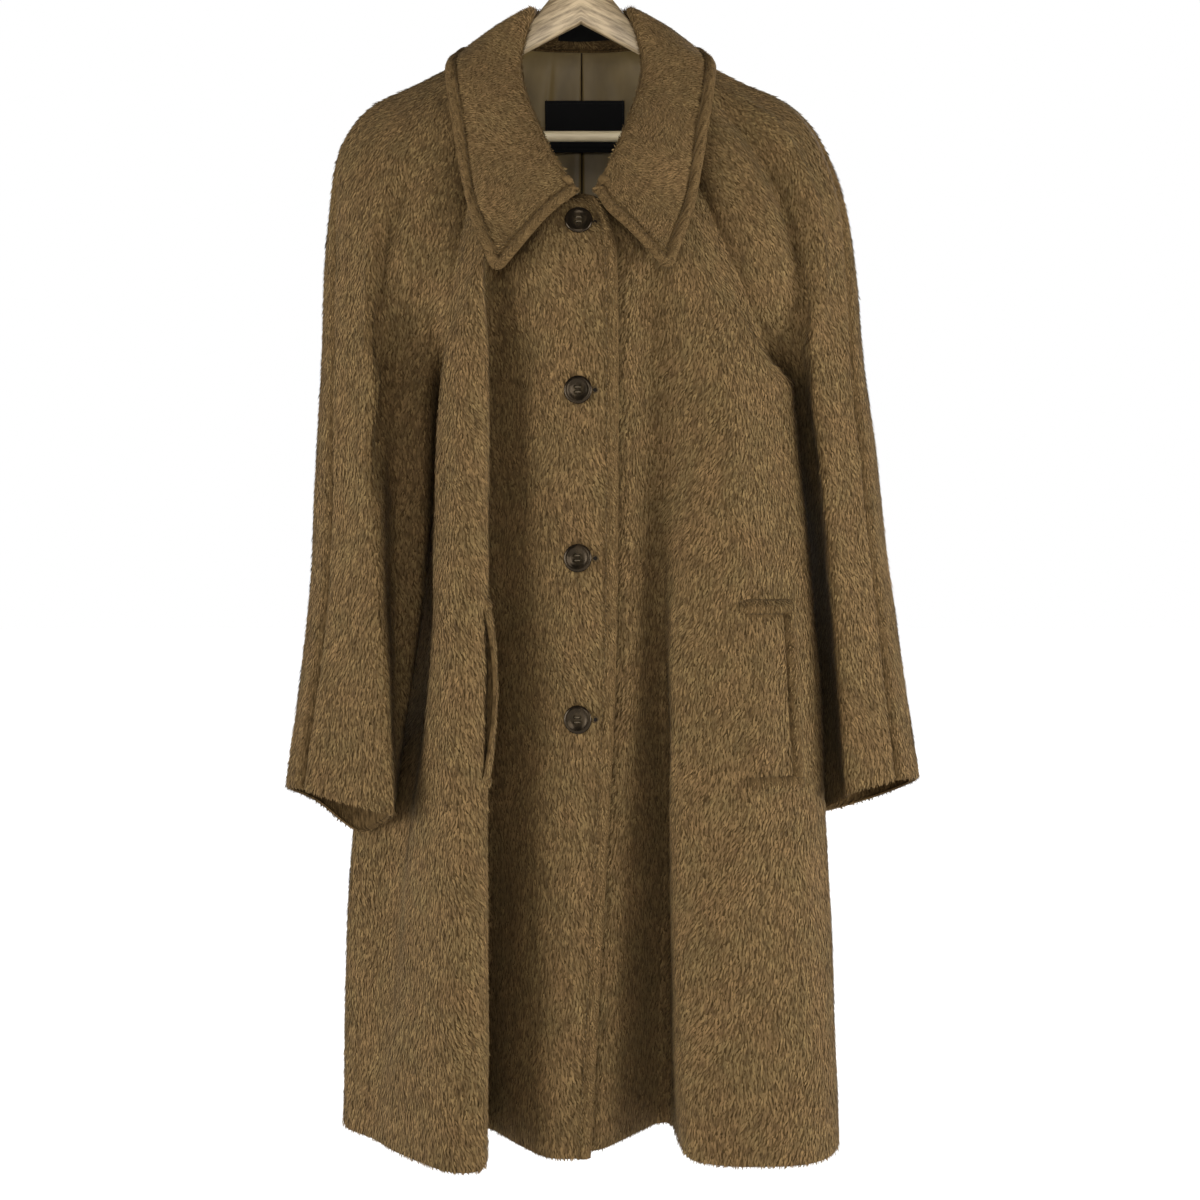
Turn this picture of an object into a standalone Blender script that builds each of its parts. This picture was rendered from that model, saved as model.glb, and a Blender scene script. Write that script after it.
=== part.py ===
"""A balmacaan coat of brushed wool, hanging on a wooden hanger.

The frame: +Z up, the front faces -Y, the wearer's right is -X, and the origin is the inner
crown of the hanger's hook. Tables and sizes are in millimetres. Each cloth piece is a wall
lofted through named lines that run from the neck down to the hem or the cuff: a table row is
one line, an edge, a fold or a hollow, and its columns give where the line passes at each level,
measured out from the middle of the coat ("out") and in depth ("y").
"""
from collections import namedtuple
from math import cos, pi, radians, sin, sqrt

import bpy
import numpy as np
from mathutils.bvhtree import BVHTree

MM = 0.001
RIGHT = -1
LEFT = 1

# Cloth
CLOTH_WALL = 3.0
UNDERARM_THIN = 0.35
UNDERARM_REACH = 150.0
COLLAR_WALL = 2.6
LINING_WALL = 1.0
TRIM_WALL = 1.0
WELT_WALL = 3.0
SEAM_HALF_GAP = 0.25
LAID_GAP = 0.3
TRIM_GAP = 0.6
# Panels that meet at less than this cosine form a valley, and keep their own walls
SEAM_FACING = 0.4

# Levels down the coat
NECK_SIDE_Z = -117.0
NECK_HALF_WIDTH = 76.0
NECK_FRONT_Y = -82.0
NECK_FRONT_DROP = 183.0
NECK_EASE = 1.3
NECK_BACK_Y = 48.0
NECK_BACK_RISE = 3.0
YOKE_Z = -361.0
BACK_YOKE_Z = -285.0
CHEST_Z = -455.0
POCKET_Z = -740.0
LOW_Z = -880.0
HEM_Z = -1154.0
WELT_TOP_Z = -658.0
WELT_BOTTOM_Z = -825.0

# Distance down the cloth from the neckline to each level
YOKE = 120.0
CHEST = 215.0
POCKET = CHEST + CHEST_Z - POCKET_Z
LOW = CHEST + CHEST_Z - LOW_Z
HEM = CHEST + CHEST_Z - HEM_Z
BODY_LEVELS = (0.0, YOKE, CHEST, POCKET, LOW, HEM)

SHOULDER = 45.0
TIP = 82.0
CAP = 125.0
ELBOW = 400.0
CUFF = 595.0
SLEEVE_LEVELS = (0.0, SHOULDER, TIP, CAP, CHEST, ELBOW, CUFF)
ELBOW_Z = -640.0

# Rows of each wall, as distances down the cloth
UPPER_ROWS = (0.0, 20.0, 45.0, 64.0, 82.0, 102.0, 125.0, 155.0, 188.0, CHEST)
LOWER_ROWS = tuple(
    CHEST + CHEST_Z - z
    for z in (-475, -505, -550, -604, WELT_TOP_Z, -700, -742, -784, WELT_BOTTOM_Z,
              -880, -950, -1020, -1090, -1130, HEM_Z))
SLEEVE_ROWS = (240.0, 280.0, 330.0, 380.0, 430.0, 480.0, 530.0, 572.0, CUFF)

# Right front's rounded upper corner
CORNER_START = 20.0
CORNER_OUT = 34.0
CORNER_DROP = 120.0

# How far the left front's first lines lie behind the neckline, under the right front
LAP_INSET = (8.0, 8.0, 5.0, 2.0)

# Lines close beside the raglan seam, which keep to it down to the underarm
SEAM_EASE = 2.5
SEAM_LINES = ("side", "turn", "side_right", "side_left", "under", "back_inner")

# Stretches of each row from one line to the next
RIGHT_STEPS = (2, 2, 2, 3, 2, 2, 2, 2, 2)
LEFT_STEPS = (2,) * 10
BACK_STEPS = (3,) * 8
SLEEVE_STEPS = (2,) * 10
COLLAR_DOWN_STEPS = (2, 2, 2, 2, 2)

BodyLine = namedtuple(
    "BodyLine", "name neck yoke yoke_y chest chest_y pocket pocket_y low low_y hem hem_y")

# "neck" is the angle round the neckline: 90 is the centre front, 0 the side, -90 the centre back
FRONT_RIGHT = (
    BodyLine("edge", 90, -34, -95, -35, -98, -32, -106, -25, -107, -10, -108),
    BodyLine("placket", 84, 0, -100, 0, -103, 0, -110, 8, -110, 26, -109),
    BodyLine("slope", 72, 36, -98, 41, -92, 41, -88, 46, -84, 55, -78),
    BodyLine("valley", 60, 68, -90, 82, -66, 84, -58, 86, -48, 90, -34),
    BodyLine("fold_edge", 54, 81, -97, 83, -102, 84, -118, 84, -124, 83, -136),
    BodyLine("ridge", 46, 90, -94, 104, -106, 108, -127, 108, -134, 108, -143),
    BodyLine("fold_outer", 36, 99, -88, 126, -84, 134, -102, 148, -97, 164, -96),
    BodyLine("tuck", 27, 105, -82, 120, -46, 139, -50, 166, -46, 192, -60),
    BodyLine("side", 20, 111, -76, 126, -12, 148, -2, 215, -12, 222, -30),
)
FRONT_LEFT = (
    BodyLine("edge", 92, -14, -87, -16, -90, -12, -96, -12, -96, -14, -96),
    BodyLine("under_lap", 84, 12, -89, 12, -94, 12, -99, 8, -99, 0, -98),
    BodyLine("lap_edge", 76, 42, -86, 42, -90, 40, -95, 32, -93, 18, -87),
    BodyLine("valley", 66, 64, -82, 66, -80, 78, -60, 82, -40, 80, -12),
    BodyLine("fold_edge", 56, 92, -88, 97, -94, 84, -106, 86, -110, 96, -110),
    BodyLine("ridge", 51, 100, -86, 112, -98, 108, -118, 110, -122, 118, -125),
    BodyLine("welt_inner", 44, 108, -83, 128, -99, 144, -121, 150, -127, 158, -130),
    BodyLine("welt_outer", 36, 118, -78, 172, -78, 192, -102, 200, -114, 208, -120),
    BodyLine("turn", 28, 125, -74, 188, -52, 216, -72, 224, -76, 233, -88),
    BodyLine("side", 20, 132, -70, 190, -25, 215, -25, 230, -30, 238, -35),
)
# Across the back the lines run from the wearer's right to the left, measured in X
BACK = (
    BodyLine("side_right", -34, -108, 66, -124, 42, -164, 66, -209, 50, -220, 44),
    BodyLine("fold_right", -50, -88, 72, -98, 68, -130, 88, -160, 90, -166, 98),
    BodyLine("hollow_right", -70, -46, 74, -50, 72, -66, 72, -82, 70, -88, 72),
    BodyLine("centre", -90, 0, 76, 2, 80, 4, 94, 4, 100, 4, 108),
    BodyLine("hollow_left", -70, 48, 74, 60, 72, 76, 74, 84, 74, 86, 74),
    BodyLine("fold_left", -50, 92, 72, 122, 80, 140, 92, 152, 98, 158, 104),
    BodyLine("side_left", -34, 112, 67, 178, 48, 198, 64, 212, 66, 222, 62),
)

SeamPoint = namedtuple("SeamPoint", "down out y z")
RAGLAN_NECK_FRONT = 14.0
RAGLAN_NECK_BACK = -25.0
UNDERARM = {RIGHT: (134.0, 2.0), LEFT: (192.0, 4.0)}
RAGLAN_FRONT = {
    RIGHT: (SeamPoint(60, 96, -48, -250), SeamPoint(YOKE, 116, -70, -365), SeamPoint(195, 127, -30, -440)),
    LEFT: (SeamPoint(60, 104, -50, -256), SeamPoint(YOKE, 138, -67, -342), SeamPoint(197, 183, -26, -440)),
}
RAGLAN_BACK = {
    RIGHT: (SeamPoint(60, 94, 50, -195), SeamPoint(YOKE, 112, 64, -290), SeamPoint(188, 128, 40, -425)),
    LEFT: (SeamPoint(60, 96, 50, -195), SeamPoint(YOKE, 118, 66, -290), SeamPoint(188, 180, 44, -425)),
}
SidePoint = namedtuple("SidePoint", "level out y")
SIDE_SEAM = {
    RIGHT: (SidePoint(POCKET, 172, 40), SidePoint(LOW, 220, 22), SidePoint(HEM, 228, 12)),
    LEFT: (SidePoint(POCKET, 206, 30), SidePoint(LOW, 226, 22), SidePoint(HEM, 236, 12)),
}
UNDER_SEAM = {
    RIGHT: (SidePoint(ELBOW, 153, -14), SidePoint(CUFF, 172, -60)),
    LEFT: (SidePoint(ELBOW, 226, 8), SidePoint(CUFF, 236, -42)),
}

# "drop" is how far a line lies down from the overarm to the raglan seam, above the underarm
SleeveLine = namedtuple(
    "SleeveLine", "name neck drop shoulder shoulder_y tip tip_y cap cap_y"
    " chest chest_y elbow elbow_y cuff cuff_y")
SLEEVE = {
    RIGHT: (
        SleeveLine("under", 12, .86, 100, -46, 118, -61, 130, -70, 146, -42, 155, -40, 168, -95),
        SleeveLine("tuck", 9, .66, 116, -44, 142, -60, 158, -68, 172, -46, 172, -50, 165, -112),
        SleeveLine("ridge", 6, .42, 131, -35, 167, -50, 187, -62, 189, -76, 180, -94, 164, -125),
        SleeveLine("front", 3, .18, 143, -18, 189, -30, 213, -42, 218, -60, 218, -74, 216, -113),
        SleeveLine("overarm", 0, 0, 149, -2, 206, -4, 235, -10, 239, -34, 242, -48, 256, -88),
        SleeveLine("outer", -5, 0, 147, 8, 205, 9, 237, 8, 249, -8, 256, -18, 270, -64),
        SleeveLine("back_outer", -10, .16, 138, 22, 190, 28, 224, 34, 240, 36, 243, 28, 250, -30),
        SleeveLine("back", -15, .5, 118, 40, 158, 50, 188, 60, 196, 66, 199, 40, 208, -26),
        SleeveLine("back_inner", -20, .8, 100, 46, 126, 58, 148, 68, 154, 46, 165, 14, 182, -38),
    ),
    LEFT: (
        SleeveLine("under", 12, .86, 100, -46, 121, -61, 150, -68, 206, -28, 226, -35, 237, -72),
        SleeveLine("tuck", 9, .66, 116, -44, 145, -60, 178, -65, 209, -46, 227, -60, 238, -92),
        SleeveLine("ridge", 6, .42, 131, -35, 169, -49, 200, -57, 213, -71, 229, -88, 239, -106),
        SleeveLine("front", 3, .18, 143, -18, 190, -29, 222, -38, 240, -60, 259, -76, 275, -99),
        SleeveLine("overarm", 0, 0, 149, -2, 206, -4, 242, -9, 264, -36, 282, -50, 302, -80),
        SleeveLine("outer", -5, 0, 147, 8, 206, 9, 245, 9, 273, -8, 293, -20, 313, -56),
        SleeveLine("back_outer", -10, .16, 138, 22, 191, 28, 232, 36, 268, 44, 288, 30, 304, -14),
        SleeveLine("back", -15, .5, 118, 40, 158, 50, 194, 62, 234, 76, 255, 60, 273, 6),
        SleeveLine("back_inner", -20, .8, 100, 46, 126, 58, 152, 70, 204, 58, 229, 46, 244, -2),
    ),
}
OVERARM_INDEX = 4
# Height of the overarm at the shoulder, tip and cap levels
OVERARM_Z = (-157.0, -187.0, -250.0)
# The cuff's edge slopes: lower at the back, higher on the outside, and lifted at the inside
CuffSlope = namedtuple("CuffSlope", "out y z per_y per_out inner_lift")
CUFF_SLOPE = {
    RIGHT: CuffSlope(164, -125, -846, -.45, .45, .29),
    LEFT: CuffSlope(239, -106, -833, -.25, .29, 0),
}
CUFF_INNER_REACH = 40.0

# Collar, one half: the line it rolls over at the neck and its free edge
CollarLine = namedtuple("CollarLine", "name neck roll roll_y roll_z edge edge_y edge_z")
COLLAR = (
    CollarLine("centre_back", -90, 0, 46, -71, 0, 74, -150),
    CollarLine("back", -55, 30, 36, -74, 62, 66, -147),
    CollarLine("nape", -24, 43, 18, -78, 98, 44, -138),
    CollarLine("shoulder", 2, 45, -9, -94, 118, 14, -128),
    CollarLine("neck_side", 13.5, 55.5, -25, -146, 127, -12, -153),
    CollarLine("chest_side", 31, 49, -47, -190, 118, -52, -218),
    CollarLine("chest", 55, 26, -76, -249, 102, -78, -298),
    CollarLine("end", 87, 4, -93, -290, 72, -106, -362),
)
COLLAR_STEPS = 2
COLLAR_ROLL = 4.5
COLLAR_SEAM_GAP = 0.7
COLLAR_BULGE = 6.0
COLLAR_CLEAR = 6.0
COLLAR_SEARCH = 80.0
FALL_MIDDLE = 0.5

# Buttons on the right front, turned with a raised rim
BUTTON_RADIUS = 13.0
BUTTON_SIDES = 20
BUTTON_X = -1.0
BUTTON_Z = (-317.5, -471.0, -621.0, -764.0)
ButtonRing = namedtuple("ButtonRing", "name inset height")
BUTTON_RINGS = (
    ButtonRing("back_middle", BUTTON_RADIUS, 0.3),
    ButtonRing("back_edge", 3.0, 0.3),
    ButtonRing("back_bevel", 0.6, 1.5),
    ButtonRing("girth", 0.0, 2.6),
    ButtonRing("rim_outer", 1.2, 4.6),
    ButtonRing("rim_inner", 3.2, 4.6),
    ButtonRing("dish_edge", 5.0, 3.4),
    ButtonRing("dish_middle", BUTTON_RADIUS, 3.4),
)

# Lining, label and hang loop inside the back neck
LINING_TOP = 0.25
LINING_BOTTOM_ROW = 7
LABEL_SIZE = (72.0, 46.0)
LABEL_CENTRE = (3.0, -187.0)
LOOP_SIZE = (52.0, 16.0)
LOOP_CENTRE = (3.0, -97.0)
LOOP_SECTIONS = 4
STAND_COLUMNS = 4
PATCH_COLUMNS = 7
PATCH_ROWS = 5

# Hanger
CREST_OUT = 126.0
CREST_Z = -144.0
CREST_SLOPE = 0.54
CLOTH_TO_WOOD = 8.0
WOOD_HALF_THICK = 5.0
WOOD_APEX_Z = -105.0
WOOD_UNDER_SLOPE = 0.525
WOOD_TOP_Z = -60.0
WOOD_END = 200.0
WOOD_SIDES = 12
END_ROUND = 4.0
HUMP_REACH = 80.0
LUG_INNER = 188.0
LUG_STEP = 0.2
LUG_BOTTOM_Z = -221.0
HUMP_STATIONS = 9
ARM_STATIONS = (115.0, 150.0, LUG_INNER, LUG_INNER + LUG_STEP, WOOD_END - END_ROUND, WOOD_END)
BAR_RADIUS = 5.0
BAR_SIDES = 16
BAR_Z = -213.0
HOOK_INNER_RADIUS = 22.0
WIRE_RADIUS = 2.0
WIRE_SIDES = 10
HOOK_STATIONS = 20
HOOK_FROM = -55.0
HOOK_TO = 205.0
STEM_RISE = 6.0
STEM_LEAN = 4.0

# Colours and finish
WOOL = (0.135, 0.085, 0.037)
SATIN = (0.08, 0.055, 0.03)
BLACK = (0.01, 0.01, 0.01)
HORN = (0.035, 0.022, 0.014)
OAK = (0.45, 0.33, 0.20)
STEEL = (0.6, 0.6, 0.6)
SHARP_ANGLE = 50.0


def through(keys, values, at):
    """Points at distances `at` on the smooth curve that passes the values at their keys."""
    keys = np.asarray(keys, float)
    values = np.asarray(values, float)
    return hermite(keys, values, np.gradient(values, keys, axis=0), at)


def steady(keys, values, at):
    """As `through`, but with slopes held so that the curve never swings past its values."""
    keys = np.asarray(keys, float)
    values = np.asarray(values, float)
    slopes = np.gradient(values, keys, axis=0)
    secants = np.diff(values, axis=0) / np.diff(keys)[:, None]
    before, after = secants[:-1], secants[1:]
    most = np.where(before * after > 0, 3 * np.minimum(abs(before), abs(after)), 0.0)
    slopes[1:-1] = np.clip(slopes[1:-1], -most, most)
    return hermite(keys, values, slopes, at)


def hermite(keys, values, slopes, at):
    """Points of the cubic pieces that pass the values with the given slopes."""
    at = np.atleast_1d(np.asarray(at, float))
    first = np.clip(np.searchsorted(keys, at, "right") - 1, 0, len(keys) - 2)
    span = (keys[first + 1] - keys[first])[:, None]
    t = (at - keys[first])[:, None] / span
    start = (1 + 2 * t) * (1 - t) ** 2 * values[first] + t * (1 - t) ** 2 * span * slopes[first]
    end = t ** 2 * (3 - 2 * t) * values[first + 1] + t ** 2 * (t - 1) * span * slopes[first + 1]
    return start + end


def across(points, steps):
    """A smooth row through the points, with `steps` stretches from each point to the next."""
    points = np.asarray(points, float)
    chords = np.sqrt(np.linalg.norm(np.diff(points, axis=0), axis=1))
    keys = np.concatenate(([0.0], np.cumsum(chords)))
    at = [key + chord * np.arange(n) / n for key, chord, n in zip(keys, chords, steps)]
    return through(keys, points, np.concatenate(at + [keys[-1:]]))


def unit(vectors):
    """The vectors at length one."""
    return vectors / np.maximum(np.linalg.norm(vectors, axis=-1, keepdims=True), 1e-9)


def neck_point(side, angle):
    """A point of the neckline seam, by its angle round the neck."""
    turn = radians(angle)
    out = side * NECK_HALF_WIDTH * cos(turn)
    if angle >= 0:
        return (out, NECK_FRONT_Y * sin(turn), NECK_SIDE_Z - NECK_FRONT_DROP * sin(turn) ** NECK_EASE)
    return (out, -NECK_BACK_Y * sin(turn), NECK_SIDE_Z - NECK_BACK_RISE * sin(turn))


def raglan(side, table, neck_angle, rows):
    """The raglan seam from the neckline to the underarm."""
    underarm = (side * UNDERARM[side][0], UNDERARM[side][1], CHEST_Z)
    keys = [0.0] + [p.down for p in table[side]] + [CHEST]
    points = [neck_point(side, neck_angle)] + [(side * p.out, p.y, p.z) for p in table[side]] + [underarm]
    return steady(keys, points, rows)


def side_seam(side, rows):
    """The side seam from the underarm to the hem."""
    underarm = (side * UNDERARM[side][0], UNDERARM[side][1], CHEST_Z)
    keys = [CHEST] + [p.level for p in SIDE_SEAM[side]]
    points = [underarm] + [(side * p.out, p.y, CHEST_Z + CHEST - p.level) for p in SIDE_SEAM[side]]
    return steady(keys, points, rows)


def cuff_z(side, out, y):
    """Height of the cuff's edge."""
    slope = CUFF_SLOPE[side]
    inner = slope.inner_lift * max(0.0, 1 - (out - slope.out) / CUFF_INNER_REACH)
    return slope.z + (slope.per_y + inner) * (y - slope.y) + slope.per_out * (out - slope.out)


def under_seam(side, rows):
    """The sleeve's under seam from the underarm to the cuff."""
    underarm = (side * UNDERARM[side][0], UNDERARM[side][1], CHEST_Z)
    elbow, cuff = UNDER_SEAM[side]
    points = [underarm, (side * elbow.out, elbow.y, ELBOW_Z),
              (side * cuff.out, cuff.y, cuff_z(side, cuff.out, cuff.y))]
    return steady((CHEST, ELBOW, CUFF), points, rows)


def beside(seam_at, keys, points, rows):
    """A line that keeps to a seam: what is smoothed is its offset from the seam.

    In the last stretch it stays close, and parts from the seam only near the underarm.
    """
    start, end = keys[-2:]
    share = np.clip((np.asarray(rows) - start) / (end - start), 0.0, 1.0)
    eased = np.where(np.asarray(rows) > start, start + (end - start) * share ** SEAM_EASE, rows)
    return seam_at(rows) + steady(keys, np.asarray(points, float) - seam_at(keys), eased)


def body_line(line, side, neck_side, yoke_z, seam_at=None):
    """One line of a front or the back, from the neckline to the hem.

    A line given a seam keeps to it down to the underarm.
    """
    points = [
        neck_point(neck_side, line.neck),
        (side * line.yoke, line.yoke_y, yoke_z),
        (side * line.chest, line.chest_y, CHEST_Z),
        (side * line.pocket, line.pocket_y, POCKET_Z),
        (side * line.low, line.low_y, LOW_Z),
        (side * line.hem, line.hem_y, HEM_Z),
    ]
    if seam_at is None:
        return steady(BODY_LEVELS, points, UPPER_ROWS + LOWER_ROWS)
    upper = beside(seam_at, BODY_LEVELS[:3], points[:3], UPPER_ROWS)
    return np.concatenate((upper, steady(BODY_LEVELS[2:], points[2:], LOWER_ROWS)))


def front_grid(side, table, steps):
    """Outer points of a front, by row and column, from its edge to the raglan and side seams."""
    rows = UPPER_ROWS + LOWER_ROWS

    def seam_at(down):
        return raglan(side, RAGLAN_FRONT, RAGLAN_NECK_FRONT, down)

    seam = np.concatenate((seam_at(UPPER_ROWS), side_seam(side, LOWER_ROWS)))
    seam_yoke = seam_at(YOKE)[0]
    reach = side * seam_yoke[0] - table[0].yoke
    lines = []
    for line in table:
        share = (line.yoke - table[0].yoke) / reach
        yoke_z = YOKE_Z + (seam_yoke[2] - YOKE_Z) * share
        lines.append(body_line(line, side, side, yoke_z, seam_at if line.name in SEAM_LINES else None))
    if side == RIGHT:
        round_corner(lines[0], rows)
    else:
        tuck_under(lines, rows)
    lines.append(seam)
    stack = np.stack(lines, axis=1)
    return np.stack([across(row, steps) for row in stack])


def round_corner(edge, rows):
    """Bend the top of the right front's edge in to the collar's end."""
    for point, down in zip(edge, rows):
        if down < CORNER_DROP:
            rest = 1 - down / CORNER_DROP
            point[0] = CORNER_START + (CORNER_OUT - CORNER_START) * sqrt(1 - rest * rest)


def tuck_under(lines, rows):
    """Hold the left front's lap back at the neck, behind the right front."""
    for line, inset in zip(lines, LAP_INSET):
        for point, down in zip(line, rows):
            point[1] += inset * max(0.0, 1 - down / YOKE)


def back_grid(steps):
    """Outer points of the back, from the wearer's right side to the left."""

    def seam_at(side):
        return lambda down: raglan(side, RAGLAN_BACK, RAGLAN_NECK_BACK, down)

    seams = {side: np.concatenate((seam_at(side)(UPPER_ROWS), side_seam(side, LOWER_ROWS)))
             for side in (RIGHT, LEFT)}
    lines = [seams[RIGHT]]
    for line in BACK:
        side = RIGHT if line.yoke < 0 else LEFT
        seam = seam_at(side) if line.name in SEAM_LINES else None
        lines.append(body_line(line, 1, side, BACK_YOKE_Z, seam))
    lines.append(seams[LEFT])
    stack = np.stack(lines, axis=1)
    return np.stack([across(row, steps) for row in stack])


def sleeve_line(line, side, seam_at):
    """One line along a sleeve, from the neckline to the cuff."""
    seam_z = seam_at((SHOULDER, TIP, CAP))[:, 2]
    heights = [overarm + (seam - overarm) * line.drop for overarm, seam in zip(OVERARM_Z, seam_z)]
    points = [
        neck_point(side, line.neck),
        (side * line.shoulder, line.shoulder_y, heights[0]),
        (side * line.tip, line.tip_y, heights[1]),
        (side * line.cap, line.cap_y, heights[2]),
        (side * line.chest, line.chest_y, CHEST_Z),
        (side * line.elbow, line.elbow_y, ELBOW_Z),
        (side * line.cuff, line.cuff_y, cuff_z(side, line.cuff, line.cuff_y)),
    ]
    if line.name not in SEAM_LINES:
        return steady(SLEEVE_LEVELS, points, UPPER_ROWS + SLEEVE_ROWS)
    upper = beside(seam_at, SLEEVE_LEVELS[:5], points[:5], UPPER_ROWS)
    return np.concatenate((upper, steady(SLEEVE_LEVELS[4:], points[4:], SLEEVE_ROWS)))


def sleeve_grids(side, steps):
    """Outer points of a sleeve's front and back, each from the raglan to the overarm seam."""

    def front_at(down):
        return raglan(side, RAGLAN_FRONT, RAGLAN_NECK_FRONT, down)

    def back_at(down):
        return raglan(side, RAGLAN_BACK, RAGLAN_NECK_BACK, down)

    under = under_seam(side, SLEEVE_ROWS)
    lines = [np.concatenate((front_at(UPPER_ROWS), under))]
    lines += [sleeve_line(line, side, front_at if line.neck >= 0 else back_at) for line in SLEEVE[side]]
    lines.append(np.concatenate((back_at(UPPER_ROWS), under)))
    stack = np.stack(lines, axis=1)
    whole = np.stack([across(row, steps) for row in stack])
    overarm = sum(steps[:OVERARM_INDEX + 1])
    return whole[:, :overarm + 1], whole[:, overarm:]


def grid_normals(grid):
    """Normal at each point of a grid, before neighbours are joined."""
    normals = np.zeros_like(grid)
    diagonal_a = grid[1:, 1:] - grid[:-1, :-1]
    diagonal_b = grid[1:, :-1] - grid[:-1, 1:]
    faces = np.cross(diagonal_a, diagonal_b)
    normals[:-1, :-1] += faces
    normals[1:, :-1] += faces
    normals[:-1, 1:] += faces
    normals[1:, 1:] += faces
    return normals


def joined_normals(grids, mirrored):
    """Outward normals of all panels, shared along the seams where neighbours face alike."""
    own = {}
    at_point = {}
    for name, grid in grids.items():
        facing = -1 if name in mirrored else 1
        own[name] = facing * unit(grid_normals(grid))
        for point, normal in zip(grid.reshape(-1, 3), own[name].reshape(-1, 3)):
            at_point.setdefault(tuple(np.round(point, 2)), []).append(normal)
    joined = {}
    for name, grid in grids.items():
        shared = []
        for point, normal in zip(grid.reshape(-1, 3), own[name].reshape(-1, 3)):
            neighbours = at_point[tuple(np.round(point, 2))]
            shared.append(sum(other for other in neighbours if np.dot(other, normal) > SEAM_FACING))
        joined[name] = unit(np.array(shared).reshape(grid.shape))
    return joined


def part_seams(grid, both):
    """The grid with its seam columns drawn back, so neighbours stay apart."""
    grid = grid.copy()
    grid[:, -1] += SEAM_HALF_GAP * unit(grid[:, -2] - grid[:, -1])
    if both:
        grid[:, 0] += SEAM_HALF_GAP * unit(grid[:, 1] - grid[:, 0])
    return grid


def cloth_wall(grid):
    """Thickness of the cloth at each point: thinner where four seams meet at the underarm."""
    away = []
    for side in (RIGHT, LEFT):
        underarm = np.array((side * UNDERARM[side][0], UNDERARM[side][1], CHEST_Z))
        away.append(np.linalg.norm(grid - underarm, axis=-1, keepdims=True))
    near = np.minimum(*away) / UNDERARM_REACH
    return CLOTH_WALL * np.clip(near, UNDERARM_THIN, 1.0)


def wall_mesh(outer, inner, flip):
    """Points and triangles of the closed wall between two grids."""
    rows, columns = outer.shape[:2]
    points = np.concatenate((outer.reshape(-1, 3), inner.reshape(-1, 3)))
    behind = rows * columns
    faces = []
    for i in range(rows - 1):
        for j in range(columns - 1):
            a = i * columns + j
            b, c, d = a + 1, a + columns + 1, a + columns
            faces += [(a, b, c), (a, c, d)]
            faces += [(a + behind, c + behind, b + behind), (a + behind, d + behind, c + behind)]
    for j in range(columns - 1):
        faces += rim_faces(j + 1, j, behind)
        low = (rows - 1) * columns + j
        faces += rim_faces(low, low + 1, behind)
    for i in range(rows - 1):
        a = i * columns
        faces += rim_faces(a, a + columns, behind)
        b = a + columns - 1
        faces += [(b + columns, b, b + columns + behind), (b, b + behind, b + columns + behind)]
    if flip:
        faces = [face[::-1] for face in faces]
    return points, faces


def rim_faces(a, b, behind):
    """Two triangles that close the wall along one stretch of its rim."""
    return [(a, b, b + behind), (a, b + behind, a + behind)]


def material(name, colour, roughness, metallic=0.0):
    """A Principled material."""
    made = bpy.data.materials.new(name)
    made.use_nodes = True
    shader = made.node_tree.nodes["Principled BSDF"]
    shader.inputs["Base Color"].default_value = (*colour, 1.0)
    shader.inputs["Roughness"].default_value = roughness
    shader.inputs["Metallic"].default_value = metallic
    return made


def add_object(name, points, faces, finish, parent):
    """A named object from points in millimetres."""
    mesh = bpy.data.meshes.new(name)
    mesh.from_pydata([tuple(p * MM) for p in np.asarray(points, float)], [], faces)
    mesh.validate()
    mesh.shade_smooth()
    mesh.set_sharp_from_angle(angle=radians(SHARP_ANGLE))
    mesh.materials.append(finish)
    made = bpy.data.objects.new(name, mesh)
    made.parent = parent
    bpy.context.scene.collection.objects.link(made)
    return made


def add_wall(name, grid, normals, wall, finish, parent, flip=False):
    """A cloth panel: its outer grid and the same points moved in by the wall."""
    points, faces = wall_mesh(grid, grid - normals * wall, flip)
    return add_object(name, points, faces, finish, parent)


def add_laid(name, grid, normals, wall, finish, parent, flip=False, gap=LAID_GAP):
    """A piece that lies on a panel: the panel's points moved out."""
    points, faces = wall_mesh(grid + normals * (gap + wall), grid + normals * gap, flip)
    return add_object(name, points, faces, finish, parent)


def cloth_tree(grids):
    """Search tree of all panels, for pieces that rest on them."""
    points = []
    faces = []
    for grid in grids.values():
        rows, columns = grid.shape[:2]
        first = len(points)
        points += [tuple(p) for p in grid.reshape(-1, 3)]
        for i in range(rows - 1):
            for j in range(columns - 1):
                a = first + i * columns + j
                faces.append((a, a + 1, a + columns + 1))
                faces.append((a, a + columns + 1, a + columns))
    return BVHTree.FromPolygons(points, faces)


def rest_on(points, direction, cloth):
    """Lift points along a direction until they clear the cloth under them."""
    for point in points:
        start = point + direction * COLLAR_SEARCH
        hit = cloth.ray_cast(tuple(start), tuple(-direction), 2 * COLLAR_SEARCH)[0]
        if hit is not None:
            above = float(np.dot(point - np.array(hit), direction))
            point += direction * max(0.0, COLLAR_CLEAR - above)


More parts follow.
